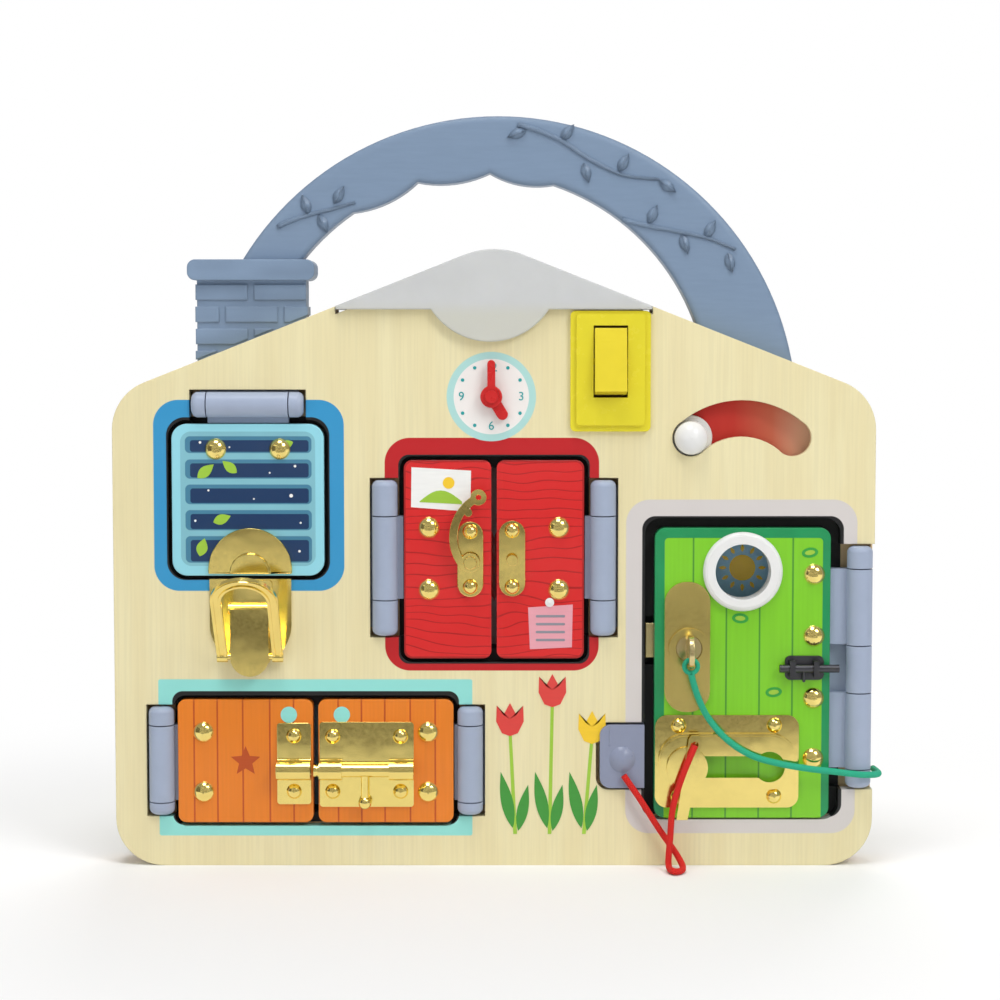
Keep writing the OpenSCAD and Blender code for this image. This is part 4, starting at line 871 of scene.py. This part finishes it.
def print_blue_door():
    """A night sky in the slots, with leaves over it."""
    dots = [(-110, 160.4, 0.5), (-99, 158.6, 0.35), (-74.5, 151.5, 0.5), (-84, 149, 0.35),
            (-107, 142.4, 0.4), (-76, 140.4, 0.7), (-90, 139.2, 0.35), (-112, 131, 0.45),
            (-72.5, 130.2, 0.4), (-73, 119.5, 0.5)]
    on_door("night_dots", [ellipse(x, z, r, r, 0, 12) for x, z, r in dots], "blue_door",
            WHITE_PRINT)
    fronds = [leaf(-108, 149.6, 8, 4.0, 40), leaf(-99, 151.2, 7, 3.6, 140),
              leaf(-109.5, 121, 7, 4.2, 75), leaf(-102, 131.6, 7, 3.8, 20),
              leaf(-78, 159.5, 6, 3.2, 200)]
    on_door("night_leaves", fronds, "blue_door", LEAF_PALE)


def in_compartment(name, outlines, material, under=0.0):
    prisms(name, outlines, BACK_Y - under, PRINT_T, "board", material)


def make_inside_prints():
    """Plain shapes on the back of each compartment."""
    sun, flower = (95.2, 111.4), (90, 62)
    rays = [leaf(*polar(*sun, 7.6, turn), 3, 1.4, turn) for turn in range(0, 360, 30)]
    in_compartment("sun", [ellipse(*sun, 5, 5)] + rays, SUN_PRINT)
    petals = [ellipse(*polar(*flower, 8, turn), 5.5, 3.4, turn) for turn in range(0, 360, 60)]
    in_compartment("flower", petals, PINK_PRINT)
    in_compartment("flower_heart", [ellipse(*flower, 4, 4)], SUN_PRINT, under=PRINT_T)
    in_compartment("blue_star", [star(-92, 138, 15)], TEAL_PRINT)
    heart = []
    for i in range(40):
        t = 2 * math.pi * i / 40
        x = 16 * math.sin(t) ** 3
        z = 13 * math.cos(t) - 5 * math.cos(2 * t) - 2 * math.cos(3 * t) - math.cos(4 * t)
        heart.append((x * 1.1, 117 + z * 1.1))
    in_compartment("heart", [heart], RED_PRINT)
    in_compartment("balls", [ellipse(x, 40, 11, 11) for x in (-92, -44)], WHITE_PRINT)


def make_key_loop():
    """The cord's eye through the key's bow, up from the cord's start."""
    eye_r = 2.5
    start_x, start_y, start_z = KEY_ROUTE[0]
    ring = [Vector((x, start_y, z))
            for x, z in [polar(start_x, start_z + 2.7, eye_r, t) for t in range(-90, 271, 15)]]
    loop, _ = tube("key_eye", ring, 0.9, sides=10)
    loop.data.materials.append(GREEN_BRAID)
    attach(loop, "key")


make_vines()
make_tulips()
make_clock_face()
print_red_doors()
print_orange_doors()
print_green_door()
print_blue_door()
make_inside_prints()
make_key_loop()


# ---- Floor and light ----

FLOOR_HALF = 4000
FLOOR_FADE = (0.10, 0.42)    # metres from the origin between which the floor turns white


def make_floor():
    """A pale floor that keeps the object's shadow, and is plain white farther off."""
    floor = mesh_object("floor", [(-FLOOR_HALF, -FLOOR_HALF, 0), (FLOOR_HALF, -FLOOR_HALF, 0),
                                  (FLOOR_HALF, FLOOR_HALF, 0), (-FLOOR_HALF, FLOOR_HALF, 0)],
                        [(0, 1, 2, 3)])
    material = bpy.data.materials.new("floor")
    material.use_nodes = True
    tree = material.node_tree
    tree.nodes.remove(tree.nodes["Principled BSDF"])
    diffuse = tree.nodes.new("ShaderNodeBsdfDiffuse")
    diffuse.inputs["Color"].default_value = (0.90, 0.90, 0.90, 1)
    white = tree.nodes.new("ShaderNodeEmission")
    path = tree.nodes.new("ShaderNodeLightPath")
    place = tree.nodes.new("ShaderNodeTexCoord")
    length = tree.nodes.new("ShaderNodeVectorMath")
    length.operation = "LENGTH"
    away = tree.nodes.new("ShaderNodeMapRange")
    away.interpolation_type = "SMOOTHSTEP"
    away.inputs["From Min"].default_value, away.inputs["From Max"].default_value = FLOOR_FADE
    seen = tree.nodes.new("ShaderNodeMath")
    seen.operation = "MULTIPLY"
    mix = tree.nodes.new("ShaderNodeMixShader")
    for source, socket in ((place.outputs["Object"], length.inputs[0]),
                           (length.outputs["Value"], away.inputs["Value"]),
                           (away.outputs["Result"], seen.inputs[0]),
                           (path.outputs["Is Camera Ray"], seen.inputs[1]),
                           (seen.outputs[0], mix.inputs["Fac"]),
                           (diffuse.outputs[0], mix.inputs[1]),
                           (white.outputs[0], mix.inputs[2]),
                           (mix.outputs[0], tree.nodes["Material Output"].inputs["Surface"])):
        tree.links.new(source, socket)
    floor.data.materials.append(material)


def make_card(name, centre, width, height, turn, dark, light):
    """A card that shows only in reflections, where it shapes the polished brass: soft
    level bands, from dark to light, both as shares of white."""
    half_w, half_h, band_h = width / 2, height / 2, 52
    card = mesh_object(name, [(-half_w, 0, -half_h), (half_w, 0, -half_h), (half_w, 0, half_h),
                              (-half_w, 0, half_h)], [(0, 1, 2, 3)])
    paint = Paint(name, 0.9)
    sway = paint.math("ADD", paint.z, paint.math("MULTIPLY", paint.noise(120, detail=1), 40.0))
    band = paint.math("SINE", paint.math("MULTIPLY", sway, 2 * math.pi / band_h))
    paint.colour(paint.mix(paint.step(band, -0.7, 0.8), (light, light, light), (dark, dark, dark)))
    card.data.materials.append(paint.material)
    card.location = mm(*centre)
    card.rotation_euler = (0, 0, math.radians(turn))
    card.visible_camera = False
    card.visible_shadow = False
    card.visible_diffuse = False


def make_world(light):
    """Even light from all round, behind which the camera and clear pieces see white."""
    world = bpy.data.worlds.new("studio")
    bpy.context.scene.world = world
    world.use_nodes = True
    tree = world.node_tree
    ground = tree.nodes["Background"]
    ground.inputs["Color"].default_value = (1, 1, 1, 1)
    ground.inputs["Strength"].default_value = light
    seen = tree.nodes.new("ShaderNodeBackground")
    seen.inputs["Color"].default_value = (1, 1, 1, 1)
    seen.inputs["Strength"].default_value = 1.0
    path = tree.nodes.new("ShaderNodeLightPath")
    either = tree.nodes.new("ShaderNodeMath")
    either.operation = "MAXIMUM"
    mix = tree.nodes.new("ShaderNodeMixShader")
    for source, socket in ((path.outputs["Is Camera Ray"], either.inputs[0]),
                           (path.outputs["Is Transmission Ray"], either.inputs[1]),
                           (either.outputs[0], mix.inputs["Fac"]),
                           (ground.outputs[0], mix.inputs[1]),
                           (seen.outputs[0], mix.inputs[2]),
                           (mix.outputs[0], tree.nodes["World Output"].inputs["Surface"])):
        tree.links.new(source, socket)


def make_lamp(name, place, size, watts):
    """A square lamp aimed at the object's middle; place and size are in metres."""
    data = bpy.data.lights.new(name, "AREA")
    data.size = size
    data.energy = watts
    lamp = bpy.data.objects.new(name, data)
    bpy.context.collection.objects.link(lamp)
    lamp.location = place
    aim = Vector((0, 0, 0.13)) - Vector(place)
    lamp.rotation_euler = aim.to_track_quat("-Z", "Y").to_euler()


make_floor()
make_card("front_card", (0, -250, 152), 560, 300, 0, 0.16, 0.95)
make_card("left_card", (-520, -300, 200), 420, 400, -60, 0.05, 0.2)
make_world(0.37)
for lamp_name, lamp_place, lamp_size, lamp_watts in (
        ("key", (0.9, -1.1, 1.3), 0.7, 12), ("top", (-0.1, -0.4, 1.35), 0.5, 7),
        ("fill", (-1.2, -1.2, 0.5), 1.2, 4), ("back", (0.2, 1.4, 1.2), 1.0, 12)):
    make_lamp(lamp_name, lamp_place, lamp_size, lamp_watts)
bpy.context.scene.view_settings.view_transform = "Standard"
